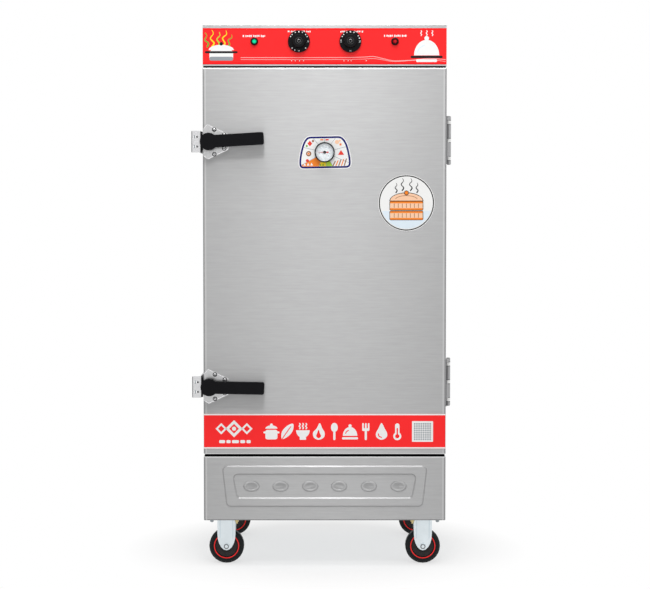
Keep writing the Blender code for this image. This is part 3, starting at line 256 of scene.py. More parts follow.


# The sheets' steel, and the painted highlight and shade lines along their folded edges
SHEET = (0.375, 0.375, 0.377)
SIDE_PAINTED_EDGES = (("X", 0.3482, 2.1 * mm, 0.66), ("X", 0.3424, 1.7 * mm, 1.22))
DOOR_PAINTED_HIGHLIGHTS = (("Z", 1.4412, 1.8 * mm, 1.4), ("Z", 0.3312, 1.8 * mm, 1.4))
PANEL_PAINTED_EDGES = (("Z", 0.3212, 1.8 * mm, 1.25), ("Z", 0.1384, 1.6 * mm, 0.6))
STEEL = brushed("brushed_steel", SHEET, 0.44, stretch=0.9)
DOOR_STEEL = brushed("brushed_door", SHEET, 0.44, stretch=0.9, painted_lines=DOOR_PAINTED_HIGHLIGHTS + SIDE_PAINTED_EDGES)
PANEL_STEEL = brushed("brushed_lower_panel", SHEET, 0.44, stretch=0.9, painted_lines=PANEL_PAINTED_EDGES + SIDE_PAINTED_EDGES)
# Painted highlight for the rolled edges, and painted shade for their outer side facets
EDGE_HIGHLIGHT_STEEL = brushed("rolled_highlight", (0.62, 0.62, 0.625), 0.34)
EDGE_SHADE_STEEL = brushed("shaded_edge", (0.27, 0.27, 0.275), 0.40)
ROOF_STEEL = brushed("brushed_roof", (0.345, 0.345, 0.347), 0.36)
LINER = brushed("liner_steel", (0.55, 0.55, 0.55), 0.30, contrast=0.035, bump=0.06)
POLISHED = fine_steel("polished_steel", (0.62, 0.62, 0.63), 0.30, 0.02, 0.01)
PLATE_STEEL = fine_steel("latch_plate_steel", (0.50, 0.50, 0.505), 0.30)
# Painted highlight for the latch plates' bevels
BEVEL_HIGHLIGHT_STEEL = fine_steel("bevel_highlight", (0.80, 0.80, 0.81), 0.24, 0.02, 0.02)
# Painted shade for the joints of the hinge barrels
HINGE_JOINT_SHADE = fine_steel("barrel_shade", (0.16, 0.16, 0.163), 0.34)
HINGE_STEEL = fine_steel("hinge_steel", (0.36, 0.36, 0.365), 0.30)
ZINC = mottled("zinc_steel", (0.70, 0.76, 0.79), 0.34, 1.0, spot=90.0, contrast=0.06, bump=0.08)
BOLT_GREY = mottled("bolt_zinc", (0.30, 0.33, 0.35), 0.36, 1.0, spot=120.0)
# Painted shade for the bent-back sides of the front forks
FORK_SHADE_BAND = mottled("zinc_fork_shade", (0.60, 0.675, 0.715), 0.40, 1.0, spot=90.0, contrast=0.06, bump=0.08)
BRASS_ZINC = mottled("yellow_zinc", (0.62, 0.50, 0.24), 0.32, 1.0, spot=120.0)
BLACK = mottled("black_plastic", (0.004, 0.004, 0.005), 0.36, spot=260.0, bump=0.12, gloss=0.11)
LEVER_BLACK = mottled("lever_plastic", (0.0055, 0.0055, 0.0068), 0.42, spot=220.0, bump=0.12, gloss=0.07)
DARK_RIM = mottled("dark_rim", (0.003, 0.004, 0.008), 0.42, spot=220.0, bump=0.05, gloss=0.06)
TYRE = mottled("black_tyre", (0.007, 0.009, 0.010), 0.50, spot=300.0, bump=0.2, gloss=0.16)
HUB_GREY = mottled("wheel_centre", (0.028, 0.024, 0.024), 0.42, spot=240.0, bump=0.15, gloss=0.2)
RING_RED = mottled("wheel_ring_red", (0.95, 0.02, 0.018), 0.38, spot=200.0, contrast=0.05)
RUBBER = mottled("grey_rubber", (0.10, 0.10, 0.10), 0.72, spot=350.0, bump=0.25)
# Black that paints the shade in the gaps above and below the door
GAP_SHADE_BLACK = mottled("gap_shade_black", (0.0015, 0.0015, 0.0018), 0.8, spot=350.0, bump=0.2, gloss=0.02)
FOAM = mottled("insulation_foam", (0.75, 0.62, 0.32), 0.9, spot=80.0, bump=0.6, depth=0.6)
SHEATH = mottled("heater_sheath", (0.20, 0.19, 0.17), 0.42, 1.0, spot=70.0, contrast=0.3)
RED_PAINT = mottled("red_paint", (0.72, 0.03, 0.02), 0.35, spot=160.0, contrast=0.05)
BRASS = mottled("valve_brass", (0.70, 0.52, 0.25), 0.30, 1.0, spot=60.0)
NYLON = mottled("white_nylon", (0.86, 0.86, 0.85), 0.40, spot=260.0, contrast=0.03)
# Dark screws and axle rims, and painted shade beside the hinge barrels and along the keepers' edges
SCREW_DARK_AND_SHADE = mottled("screw_dark_and_shade", (0.16, 0.16, 0.165), 0.34, 1.0, spot=200.0)
SCREW = mottled("screw_steel", (0.60, 0.60, 0.61), 0.24, 1.0, spot=200.0)
CAP_STEEL = mottled("cap_screw_steel", (0.24, 0.24, 0.245), 0.36, 1.0, spot=200.0)
WORN_BLACK = mottled("worn_plastic", (0.022, 0.022, 0.023), 0.26, spot=260.0, bump=0.1, gloss=0.5)
RED_FILM = film("red_film", (1.0, 0.018, 0.020))
DARK_RED = film("red_edge", (0.95, 0.0, 0.002))
WHITE = film("white_ink", (0.88, 0.88, 0.87))
PALE = film("pale_ink", (0.74, 0.84, 0.92))
NAVY = film("navy_ink", (0.002, 0.002, 0.13))
# Black print, and painted shade in screw recesses, sockets and slots
BLACK_INK_AND_SHADE = film("ink_black_and_shade", (0.006, 0.006, 0.007))
GREY_INK = film("grey_ink", (0.30, 0.33, 0.36))
YELLOW = film("yellow_ink", (0.95, 0.72, 0.02))
GREEN = film("green_ink", (0.16, 0.42, 0.04))
LIME = film("lime_ink", (0.45, 0.68, 0.05))
ORANGE = film("orange_ink", (0.92, 0.24, 0.02))
PEACH = film("peach_ink", (0.95, 0.60, 0.40))
TOMATO = film("tomato_ink", (0.80, 0.05, 0.03))
BROWN = film("brown_ink", (0.30, 0.12, 0.04))
DIAL = film("dial_white", (0.93, 0.96, 0.98), 0.4)
SCALE_INK = film("scale_ink", (0.42, 0.50, 0.60), 0.4)
PINK_LINE = film("pink_line", (0.95, 0.50, 0.50), 0.4)
GREEN_LENS = film("green_lens", (0.0, 0.72, 0.34), 0.12, glow=0.18)
RED_LENS = film("red_lens", (0.50, 0.004, 0.010), 0.12)


def clear_glass():
    """Thin clear glass with faint smears."""
    t = Tree(bpy.data.materials.new("dial_glass"))
    t.set(transmission_weight=1.0, ior=1.15, base_color=(0.97, 0.99, 1.0))
    t.rough(t.remap(t.noise(t.place((1.0, 1.0, 1.0)), 60.0), 0.01, 0.06))
    return t.owner


GLASS = clear_glass()


# CAD nodes


def soften(piece, width):
    """Round a piece's edges."""
    bevel = piece.modifiers.new("soften", "BEVEL")
    bevel.width = width
    bevel.segments = 2
    bevel.limit_method = "ANGLE"
    bevel.angle_limit = math.radians(40)
    return bevel


def dress(names, material, bevel=0.0, edge=None):
    """Give CAD nodes a material. A bevel rounds their edges, in the edge material if there is one."""
    for name in names:
        node = nodes[name]
        node.data.materials.clear()
        node.data.materials.append(material)
        if bevel:
            rounding = soften(node, bevel)
            if edge:
                node.data.materials.append(edge)
                rounding.material = 1


def repaint(name, material, chosen):
    """Give a CAD node's faces another material where chosen(centre, normal) holds."""
    mesh = nodes[name].data
    mesh.materials.append(material)
    index = len(mesh.materials) - 1
    for face in mesh.polygons:
        if chosen(face.center, face.normal):
            face.material_index = index


def rolled(centre, normal, slant):
    """Whether a face is on the rolled front edge of a sheet."""
    return centre.y < FOLD_Y and -0.97 < normal.y < slant


def beside_barrel(centre, normal):
    """Whether a face is on the strip of a hinge leaf beside its barrel."""
    return normal.y < -0.5 and 0.3498 < centre.x < 0.3542


dress(["outer_casing", "back_panel", "control_panel"], STEEL)
dress(["door_outer_skin"], DOOR_STEEL)
dress(["lower_front_panel"], PANEL_STEEL)
# Painted highlight on the rolled front edges, and painted shade on their outer side facets
for name in ("control_panel", "door_outer_skin", "lower_front_panel"):
    repaint(name, EDGE_HIGHLIGHT_STEEL, lambda c, n: rolled(c, n, -0.1) and (c.z > 0.3200 or abs(c.x) > FOLD_X))
    if name != "control_panel":
        repaint(name, EDGE_SHADE_STEEL, lambda c, n: rolled(c, n, 0.1) and abs(n.x) > 0.3 and abs(c.x) > FOLD_X)
repaint("outer_casing", ROOF_STEEL, lambda c, n: abs(n.z) > 0.7)
repaint("control_panel", ROOF_STEEL, lambda c, n: abs(n.z) > 0.7)
dress(["front_frame", "inner_liner", "door_inner_skin", "water_tank", "steam_plate"], LINER)
dress(["rack_left", "rack_right", "rice_tray"], LINER)
dress(["base_frame"], ZINC)
dress(["insulation_jacket", "door_insulation"], FOAM)
dress(["door_gasket"], RUBBER)
dress(["control_overlay", "door_band"], RED_FILM)
dress(["timer_unit", "thermostat_unit", "cable_gland"], BLACK, 0.4 * mm)
dress(["timer_knob", "thermostat_knob"], BLACK)
dress(["thermometer_case"], DARK_RIM)
dress(["thermometer_dial"], DIAL)
dress(["thermometer_needle", "drain_lever"], RED_PAINT)
dress(["heating_element"], SHEATH)
dress(["drain_valve"], BRASS)
dress(["heating_lamp"], GREEN_LENS)
dress(["power_lamp"], RED_LENS)
for x, name in ((-LAMP_X, "heating_lamp"), (LAMP_X, "power_lamp")):
    repaint(name, BLACK, lambda c, n: math.hypot(c.x - x, c.z - CONTROL_Z) > 8.3 * mm or c.y > LENS_BACK)
repaint("thermometer_needle", BLACK_INK_AND_SHADE, lambda c, n: math.hypot(c.x - GAUGE[0], c.z - GAUGE[1]) < 4.6 * mm)
for level in ("upper", "lower"):
    # The plates' bevels in a painted highlight
    dress([level + "_latch_base"], PLATE_STEEL, 1.6 * mm, BEVEL_HIGHLIGHT_STEEL)
    dress([level + "_latch_keeper"], POLISHED, 0.5 * mm)
    dress([level + "_latch_cam"], ZINC, 0.3 * mm)
    dress([level + "_latch_lever"], LEVER_BLACK)
    repaint(level + "_latch_keeper", BLACK, lambda c, n: c.x > STRIKE_X and c.y < STRIKE_Y)
    leaves = [level + "_hinge_cabinet_leaf", level + "_hinge_door_leaf"]
    dress(leaves + [level + "_hinge_pin"], HINGE_STEEL)
    # A painted shade strip on each leaf beside its barrel
    for leaf in leaves:
        repaint(leaf, SCREW_DARK_AND_SHADE, beside_barrel)

    def on_bush(centre, normal):
        off_axis = math.hypot(centre.x - HINGE[0], centre.y - HINGE[1])
        return off_axis > 3.2 * mm and abs(centre.z - HINGE_Z[level]) < 60 * mm

    repaint(level + "_hinge_pin", NYLON, on_bush)
for side, x in (("left", -WHEEL_X), ("right", WHEEL_X)):
    for end in ("front", "rear"):
        stem = "{}_{}_caster_".format(end, side)
        dress([stem + "fork", stem + "axle"], ZINC, 0.3 * mm)
        dress([stem + "wheel"], TYRE)
        repaint(
            stem + "wheel",
            HUB_GREY,
            lambda c, n: math.hypot(c.x - x, c.z - AXLE_Z) < WEB_RADIUS and abs(n.y) > 0.5,
        )
    dress(["rear_{}_caster_plate".format(side)], ZINC, 0.3 * mm)


# Flat printed shapes


def polar(radius, angle):
    """The point at a radius, and at an angle in degrees anticlockwise from +X."""
    return radius * math.cos(math.radians(angle)), radius * math.sin(math.radians(angle))


def arc(x, z, radius, start=0.0, end=360.0, count=40, tall=None):
    """Points on an arc in degrees, anticlockwise from +X. tall is the radius along Z."""
    tall = radius if tall is None else tall
    whole = abs(end - start) >= 360
    steps = count if whole else count - 1
    angles = [math.radians(start + (end - start) * i / steps) for i in range(count)]
    return [(x + radius * math.cos(a), z + tall * math.sin(a)) for a in angles]


def rounded(x0, z0, x1, z1, radius=1.0, count=5):
    """A rectangle with rounded corners."""
    points = []
    corners = ((x1, z0, -90), (x1, z1, 0), (x0, z1, 90), (x0, z0, 180))
    for x, z, start in corners:
        cx = x - radius if x == x1 else x + radius
        cz = z - radius if z == z1 else z + radius
        points += arc(cx, cz, radius, start, start + 90, count)
    return points


def between(a, b, c, d, t):
    """A Catmull-Rom value between b and c."""
    curved = (2 * a - 5 * b + 4 * c - d) * t * t + (3 * b - a - 3 * c + d) * t ** 3
    return 0.5 * (2 * b + (c - a) * t + curved)


def smooth(points, closed=True, steps=6):
    """A Catmull-Rom curve through the points."""
    count = len(points)
    made = []
    for i in range(count if closed else count - 1):
        if closed:
            near = [points[(i + k) % count] for k in (-1, 0, 1, 2)]
        else:
            near = [points[min(max(i + k, 0), count - 1)] for k in (-1, 0, 1, 2)]
        for step in range(steps):
            made.append(tuple(between(*(point[k] for point in near), step / steps) for k in (0, 1)))
    return made if closed else made + [tuple(points[-1])]


def scaled(points, x, z, size, turn=0.0):
    """Points scaled, turned in degrees and moved."""
    c, s = math.cos(math.radians(turn)) * size, math.sin(math.radians(turn)) * size
    return [(x + c * px - s * pz, z + s * px + c * pz) for px, pz in points]


def area(points):
    pairs = zip(points, points[1:] + points[:1])
    return sum(ax * bz - bx * az for (ax, az), (bx, bz) in pairs) / 2


class Art:
    """Thin printed shapes laid on a face that looks along -Y.

    Places are in millimetres from a centre. What is drawn is enlarged by size about middle.
    """

    def __init__(self, name, face, centre=(0.0, 0.0), turn=0.0):
        self.name = name
        self.face = face
        self.centre = centre
        self.turn = math.radians(turn)
        self.middle, self.size = (0.0, 0.0), 1.0
        self.mesh = bmesh.new()
        self.materials = []

    def slot(self, material):
        if material not in self.materials:
            self.materials.append(material)
        return self.materials.index(material)

    def vert(self, x, z, layer):
        c, s = math.cos(self.turn), math.sin(self.turn)
        x = self.middle[0] + (x - self.middle[0]) * self.size
        z = self.middle[1] + (z - self.middle[1]) * self.size
        across = self.centre[0] + (c * x - s * z) * mm
        up = self.centre[1] + (s * x + c * z) * mm
        return self.mesh.verts.new((across, self.face - layer * LAYER, up))

    def forward(self, verts, material):
        """A new face, turned to look forward."""
        made = self.mesh.faces.new(verts)
        made.normal_update()
        if made.normal.y > 0:
            made.normal_flip()
        made.material_index = self.slot(material)
        return made

    def wall(self, faces):
        """Close the edge of new faces down to the layer below."""
        rim = [edge for face in faces for edge in face.edges if edge.is_boundary]
        made = bmesh.ops.extrude_edge_only(self.mesh, edges=list(dict.fromkeys(rim)))
        for item in made["geom"]:
            if isinstance(item, bmesh.types.BMVert):
                item.co.y += LAYER

    def fill(self, points, material, layer=1):
        """One filled outline."""
        points = points if area(points) > 0 else points[::-1]
        face = self.mesh.faces.new([self.vert(x, z, layer) for x, z in points])
        face.material_index = self.slot(material)
        self.wall([face])

    def band(self, first, second, material, layer=1, closed=False):
        """A band of quads between two lines of points."""
        a = [self.vert(x, z, layer) for x, z in first]
        b = [self.vert(x, z, layer) for x, z in second]
        faces = []
        for i in range(len(a) if closed else len(a) - 1):
            j = (i + 1) % len(a)
            faces.append(self.forward((a[i], a[j], b[j], b[i]), material))
        self.wall(faces)

    def curve(self, points, x, z, material, layer=1):
        """One filled smooth outline, placed."""
        self.fill(scaled(smooth(points), x, z, 1.0), material, layer)

    def disc(self, x, z, radius, material, layer=1, tall=None, count=40):
        self.fill(arc(x, z, radius, tall=tall, count=count), material, layer)

    def box(self, x0, z0, x1, z1, material, layer=1, radius=0.5):
        self.fill(rounded(x0, z0, x1, z1, radius), material, layer)

    def ring(self, x, z, outer, inner, material, layer=1, start=0.0, end=360.0, count=48):
        whole = abs(end - start) >= 360
        lines = [arc(x, z, r, start, end, count) for r in (outer, inner)]
        self.band(*lines, material, layer, closed=whole)

    def stroke(self, points, width, material, layer=1, taper=None, round_ends=True):
        """A line of a given width along points, narrowing to taper at its end."""
        taper = width if taper is None else taper
        left, right = [], []
        last = len(points) - 1
        for i, (x, z) in enumerate(points):
            ax, az = points[max(i - 1, 0)]
            bx, bz = points[min(i + 1, last)]
            length = math.hypot(bx - ax, bz - az) or 1.0
            half = (width + (taper - width) * i / last) / 2
            nx, nz = -(bz - az) / length * half, (bx - ax) / length * half
            left.append((x + nx, z + nz))
            right.append((x - nx, z - nz))
        self.band(left, right, material, layer)
        if round_ends:
            self.disc(*points[0], width / 2, material, layer + 0.2, count=14)
            self.disc(*points[-1], taper / 2, material, layer + 0.2, count=14)

    def text(self, words, x, z, size, material, layer=1, turn=0.0):
        """Figures from the built-in font."""
        curve = bpy.data.curves.new(self.name + "_figures", "FONT")
        curve.body = words
        curve.size = size
        curve.resolution_u = 3
        curve.align_x = "CENTER"
        curve.align_y = "CENTER"
        holder = added(self.name + "_figures", curve)
        evaluated = holder.evaluated_get(bpy.context.evaluated_depsgraph_get())
        flat = bpy.data.meshes.new_from_object(evaluated)
        places = scaled([(v.co.x, v.co.y) for v in flat.vertices], x, z, 1.0, turn)
        verts = [self.vert(px, pz, layer) for px, pz in places]
        for polygon in flat.polygons:
            self.forward([verts[i] for i in polygon.vertices], material)
        bpy.data.objects.remove(holder)
        bpy.data.meshes.remove(flat)
        bpy.data.curves.remove(curve)

    def make(self, body):
        finish(self.name, self.mesh, self.materials, body, flat=True)


def finish(name, mesh, materials, body, flat=False, bevel=0.0):
    """Turn a bmesh into a piece that rides on a body."""
    piece = modelled(name, mesh, materials)
    if not flat:
        piece.data.shade_smooth()
        piece.modifiers.new("edges", "EDGE_SPLIT").split_angle = math.radians(35)
    if bevel:
        soften(piece, bevel)
    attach(piece, body)


def turned(mesh, profile, centre, direction, count=32, phase=0.0, material=0):
    """Add a turned form: profile is (radius, height) in millimetres along direction from centre."""
    turn = Vector((0, 0, 1)).rotation_difference(Vector(direction)).to_matrix().to_4x4()
    place = Matrix.Translation(centre) @ turn @ Matrix.Rotation(phase, 4, "Z")
    rings = []
    for radius, height in profile:
        if radius == 0:
            rings.append([mesh.verts.new(place @ Vector((0, 0, height * mm)))])
            continue
        ring = []
        for i in range(count):
            x, y = polar(radius, 360 * i / count)
            ring.append(mesh.verts.new(place @ (Vector((x, y, height)) * mm)))
        rings.append(ring)
    for low, high in zip(rings, rings[1:]):
        for i in range(count):
            j = (i + 1) % count
            corners = [low[i % len(low)], low[j % len(low)], high[j % len(high)], high[i % len(high)]]
            face = mesh.faces.new(list(dict.fromkeys(corners)))
            face.material_index = material
    return place


def patch(mesh, outline, y, material):
    """Add a flat face at a depth, its outline in millimetres."""
    face = mesh.faces.new([mesh.verts.new((px * mm, y, pz * mm)) for px, pz in outline])
    face.material_index = material


def pan_screw(mesh, centre, direction, radius, phase):
    """A round-headed screw, its cross recess a black cross of painted shade. The radius is in millimetres."""
    shares = ((1, 0), (1, 0.22), (0.92, 0.42), (0.72, 0.58), (0.42, 0.66), (0, 0.68))
    place = turned(mesh, [(radius * u, radius * v) for u, v in shares], centre, direction, 28)
    for spin in (0, math.pi / 2):
        turn = place @ Matrix.Rotation(phase + spin, 4, "Z")
        half, wide, top = (radius * share * mm for share in (0.52, 0.09, 0.69))
        corners = ((-half, -wide), (half, -wide), (half, wide), (-half, wide))
        face = mesh.faces.new([mesh.verts.new(turn @ Vector((x, y, top))) for x, y in corners])
        face.material_index = 1


def hex_bolt(mesh, centre, direction, radius, height, material, phase):
    """A hexagon head on its washer, in millimetres."""
    base = 0.22 * height
    top = base + height
    washer = [(1.3 * radius, 0), (1.3 * radius, base), (0, base)]
    head = [(radius, base), (radius, top - 0.12 * height), (0.86 * radius, top), (0, top)]
    turned(mesh, washer, centre, direction, 28, material=material)
    turned(mesh, head, centre, direction, 6, phase, material)


# Small parts


def latch_screws(level):
    """Four screws of a latch plate, each on a dark ring of painted shade for its socket."""
    mesh = bmesh.new()
    for across, up in ((14.8, 34.9), (14.8, -35.4), (43.4, 20.2), (43.4, -19.0)):
        place = (LATCH_X + across * mm, LATCH_FACE, LATCH_Z[level] + up * mm)
        # A dark ring of painted shade round each screw's socket
        turned(mesh, [(6.4, 0), (6.4, 0.3), (4.0, 0.35)], place, FRONT, material=1)
        pan_screw(mesh, place, FRONT, 4.4, 0.5 + across)
    finish(level + "_latch_screws", mesh, [SCREW, BLACK_INK_AND_SHADE], "door")


def plate_highlight_lines(level):
    """Painted highlight lines along the bevel of a latch plate."""
    art = Art(level + "_plate_highlight_lines", LATCH_FACE, (LATCH_X, LATCH_Z[level]))
    for line in (
        [(-15.5, 37.5), (-5.0, 49.5), (53.0, 21.5), (54.5, 17.0), (54.5, 8.0)],
        [(54.5, -8.0), (54.5, -17.0), (53.0, -21.5), (-3.5, -48.6), (-15.5, -40.5)],
    ):
        art.stroke(line, 1.3, BEVEL_HIGHLIGHT_STEEL, 1, round_ends=False)
    art.make("door")


def keeper_fixings(level):
    """Two screws, two slots and a dark strip of painted shade along a keeper's left edge."""
    mesh = bmesh.new()
    for up in (14, -14):
        z = LATCH_Z[level] + up * mm
        pan_screw(mesh, (KEEPER_X, KEEPER_FACE, z), FRONT, 3.0, 0.3 * up)
        slot = rounded(-374.0, z / mm - 5, -370.8, z / mm + 5, 1.5, 5)
        patch(mesh, slot, KEEPER_FACE - 0.1 * mm, 2)
    # A dark strip of painted shade along the keeper's left edge
    lip = [(-0.3813, -29.5), (-0.3791, -29.5), (-0.3791, 29.5), (-0.3813, 29.5)]
    depths = (KEEPER_FACE + 0.2 * mm, KEEPER_FACE - 0.4 * mm)
    low, high = ([mesh.verts.new((px, y, LATCH_Z[level] + pz * mm)) for px, pz in lip] for y in depths)
    mesh.faces.new(high)
    for i in range(4):
        mesh.faces.new((low[i], low[(i + 1) % 4], high[(i + 1) % 4], high[i]))
    finish(level + "_keeper_fixings", mesh, [SCREW_DARK_AND_SHADE, BLACK_INK_AND_SHADE, BOLT_GREY], "cabinet")


def hinge_shade_rings(level):
    """Thin dark rings above and below each bush of a hinge: painted shade at the joints."""
    mesh = bmesh.new()
    for bush in (-52, 0, 52):
        for side in (-1, 1):
            low = HINGE_Z[level] + (bush + side * 6.2 - 1.1) * mm
            ring = [(5.0, 0), (5.995, 0), (5.995, 2.2), (5.0, 2.2)]
            turned(mesh, ring, (*HINGE, low), (0, 0, 1), 24)
    finish(level + "_hinge_shade_rings", mesh, [HINGE_JOINT_SHADE], "cabinet")


def knob_marks():
    """White scale dots and figures on the knobs' skirts, and the screw in each cap with its slot in painted
    shade.
    """
    rows = {
        "timer_dial": (-KNOB_X, [0, 22, 45, 60, 90, 135, 180, 205, 225, 300, 315, 338]),
        "thermostat_dial": (KNOB_X, [0, 22, 55, 70, 90, 180, 270, 300, 315, 338]),
    }
    figures = {"timer_dial": ["0", "15", "30", "45", "60", "90"], "thermostat_dial": ["0", "60", "90", "110"]}
    for body, (x, angles) in rows.items():
        art = Art(body + "_scale", SKIRT_FACE, (x, CONTROL_Z))
        for i, angle in enumerate(angles):
            px, pz = polar(26.5, 90 - angle)
            if angle in (90, 180, 270):
                art.text(figures[body][(i // 2) % len(figures[body])], px, pz, 6.0, WHITE, turn=-angle)
            else:
                art.disc(px * 1.03, pz * 1.03, 2.2 if angle == 0 else 1.7, WHITE, count=14)
        art.make(body)
        mesh = bmesh.new()
        turned(mesh, [(4.9, 0), (4.9, 0.8), (4.165, 1.3), (0, 1.3)], (x, CAP_FACE, CONTROL_Z), FRONT)
        rim = [(8.6, 0), (8.9, 0.4), (9.7, 0.4), (10.1, 0)]
        turned(mesh, rim, (x, CAP_RIM_FOOT, CONTROL_Z), FRONT, 40, material=2)
        # The cap screw's slot is a black patch of painted shade
        slot = [(-3.8, -0.6), (3.8, -0.6), (3.8, 0.6), (-3.8, 0.6)]
        patch(mesh, scaled(slot, x / mm, CONTROL_Z / mm, 1.0, 35.0), CAP_RIM_FOOT - 0.05 * mm, 1)
        finish(body + "_cap_screw", mesh, [CAP_STEEL, BLACK_INK_AND_SHADE, WORN_BLACK], body)


def lamp_collars():
    """A black collar round each pilot lens."""
    outer = [(10.9, 0.0), (10.9, 2.0), (10.2, 2.9), (9.2, 3.4), (8.9, 5.6), (8.2, 6.5)]
    inner = [(6.9, 6.8), (6.6, 6.2), (6.5, 5.0)]
    for side, x in (("left", -LAMP_X), ("right", LAMP_X)):
        mesh = bmesh.new()
        turned(mesh, outer + inner, (x, COLLAR_FOOT, CONTROL_Z), FRONT, 40)
        finish(side + "_lamp_collar", mesh, [BLACK], "cabinet")


def gap_strips():
    """Thin black strips of a rubber finish in the gaps above and below the door: painted shade in the gaps.
    """
    for name, low, high in (("upper_gap_strip", 1.4434, 1.4473), ("lower_gap_strip", 0.3233, 0.3268)):
        mesh = bmesh.new()
        bmesh.ops.create_cube(mesh, size=1.0)
        for vert in mesh.verts:
            vert.co.x *= 0.694
            vert.co.y = -0.2970 if vert.co.y < 0 else -0.2620
            vert.co.z = low if vert.co.z < 0 else high
        finish(name, mesh, [GAP_SHADE_BLACK], "cabinet", flat=True, bevel=0.5 * mm)


def thermometer_parts():
    """The dial's scale and glass."""
    art = Art("thermometer_scale", DIAL_FACE, GAUGE)
    for i in range(28):
        inner, width = (17.5, 0.8) if i % 3 == 0 else (19.5, 0.45)
        art.stroke([polar(r, 225 - 10 * i) for r in (inner, 21.5)], width, SCALE_INK, round_ends=False)
    for i in range(10):
        art.text(str(20 * i), *polar(14.6, 225 - 30 * i), 3.6, SCALE_INK)
    art.make("door")
    mesh = bmesh.new()
    profile = [(25.9, 0), (25.9, 0.6), (15, 1.1), (0, 1.3)]
    turned(mesh, profile, (GAUGE[0], GLASS_FOOT, GAUGE[1]), FRONT, 48)
    finish("thermometer_glass", mesh, [GLASS], "door")


def wheel_ring(end, side, x, y):
    """Red ring and dark spoked web on both sides of a wheel."""
    mesh = bmesh.new()
    for way in (-1, 1):
        ring = [(33.9, 0), (34.2, 0.8), (36.8, 0.8), (37.1, 0)]
        turned(mesh, ring, (x, y + way * 15.9 * mm, AXLE_Z), (0, way, 0), 64)
        low = y + way * 10.9 * mm
        turned(mesh, [(19, 0), (19, 1.4), (21, 1.4), (21, 0)], (x, low, AXLE_Z), (0, way, 0), 48, material=1)
        for spoke in range(6):
            a = math.tau * spoke / 6 + 0.3
            c, s = math.cos(a) * mm, math.sin(a) * mm
            ends = ((21, 0.8), (33.8, 0.8), (33.8, -0.8), (21, -0.8))
            spots = [(x + c * u - s * v, AXLE_Z + s * u + c * v) for u, v in ends]
            depths = (low + way * 1.2 * mm, low)
            verts = [mesh.verts.new((px, depth, pz)) for depth in depths for px, pz in spots]
            for k in range(4):
                j = (k + 1) % 4
                mesh.faces.new((verts[k], verts[j], verts[4 + j], verts[4 + k])).material_index = 1
            mesh.faces.new(verts[:4]).material_index = 1
    body = "{}_{}_wheel".format(end, side)
    finish(body + "_ring", mesh, [RING_RED, HUB_GREY], body)


def plate_bolts(side, x, y):
    """Bolts under a front caster's plate, in grey and yellow zinc by turns."""
    mesh = bmesh.new()
    way = math.copysign(1, x)
    for i, (dx, dy, tail) in enumerate(((42, -28, 10), (-31, -28, 14), (42, 28, 10), (-31, 28, 10))):
        spot = (x + way * dx * mm, y + dy * mm, PLATE_Z)
        hex_bolt(mesh, spot, (0, 0, -1), 6.0, 7.0, i % 2, 0.4 * i)
        turned(mesh, [(3.0, 8.5), (3.0, tail), (0, tail)], spot, (0, 0, -1), 16, material=i % 2)
    finish(side + "_plate_bolts", mesh, [BOLT_GREY, BRASS_ZINC], "cabinet")


def fork_marks(side, x):
    """The axle head's rim, and two bands of painted shade where a front fork's pressed sides bend back."""
    mesh = bmesh.new()
    turned(mesh, [(7.4, 0), (7.2, 0.4), (4.8, 0.4), (4.6, 0)], (x, AXLE_HEAD_FOOT, AXLE_Z), FRONT, 40)
    # Two bands of painted shade where the fork's sides bend back
    for dx in (-18.5, 18.5):
        middle = x / mm + dx
        patch(mesh, rounded(middle - 1.6, 74, middle + 1.6, 131, 1.5, 4), FORK_FACE, 1)
    finish(side + "_fork_marks", mesh, [SCREW_DARK_AND_SHADE, FORK_SHADE_BAND], "cabinet")


def caster_parts():
    for end, y in (("front", -WHEEL_Y), ("rear", WHEEL_Y)):
        for side, x in (("left", -WHEEL_X), ("right", WHEEL_X)):
            wheel_ring(end, side, x, y)
            if end == "front":
                plate_bolts(side, x, y)
                fork_marks(side, x)


def emboss_marks():
    """Six plain raised ovals in the lower panel's recess."""
    mesh = bmesh.new()
    for place in (-212, -128, -42, 42, 128, 214):
        rings = []
        for share, rise in ((1.0, 0.0), (0.96, 1.1), (0.86, 1.7), (0.70, 1.9), (0.62, 1.3), (0.56, 0.9)):
            outline = arc(place, 236.5, 23.5 * share, tall=15.5 * share, count=36)
            rings.append([mesh.verts.new((px * mm, DOOR_FACE - rise * mm, pz * mm)) for px, pz in outline])
        for low, high in zip(rings, rings[1:]):
            for i in range(36):
                j = (i + 1) % 36
                mesh.faces.new((low[i], low[j], high[j], high[i]))
        mesh.faces.new(rings[-1])
    finish("emboss_ovals", mesh, [STEEL], "cabinet")


def back_fixings():
    """Screws round the back panel."""
    mesh = bmesh.new()
    for z in (0.165, 0.42, 0.70, 0.98, 1.26, 1.54):
        for x in (-0.335, 0.335):
            pan_screw(mesh, (x, BACK_FACE, z), (0, 1, 0), 4.0, z * 9)
    for x in (-0.17, 0.0, 0.17):
        pan_screw(mesh, (x, BACK_FACE, 1.545), (0, 1, 0), 4.0, x * 9)
    finish("back_screws", mesh, [SCREW, BLACK_INK_AND_SHADE], "cabinet")


# Printed designs


def wisp(art, x, z, size, width, material, layer=1, turn=0.0, taper=None):
    """One curl of steam."""
    line = smooth([(0, 0), (2.2, 4), (-1.6, 9), (1.8, 14), (0.4, 18)], closed=False)
    art.stroke(scaled(line, x, z, size, turn), width, material, layer, taper=taper)


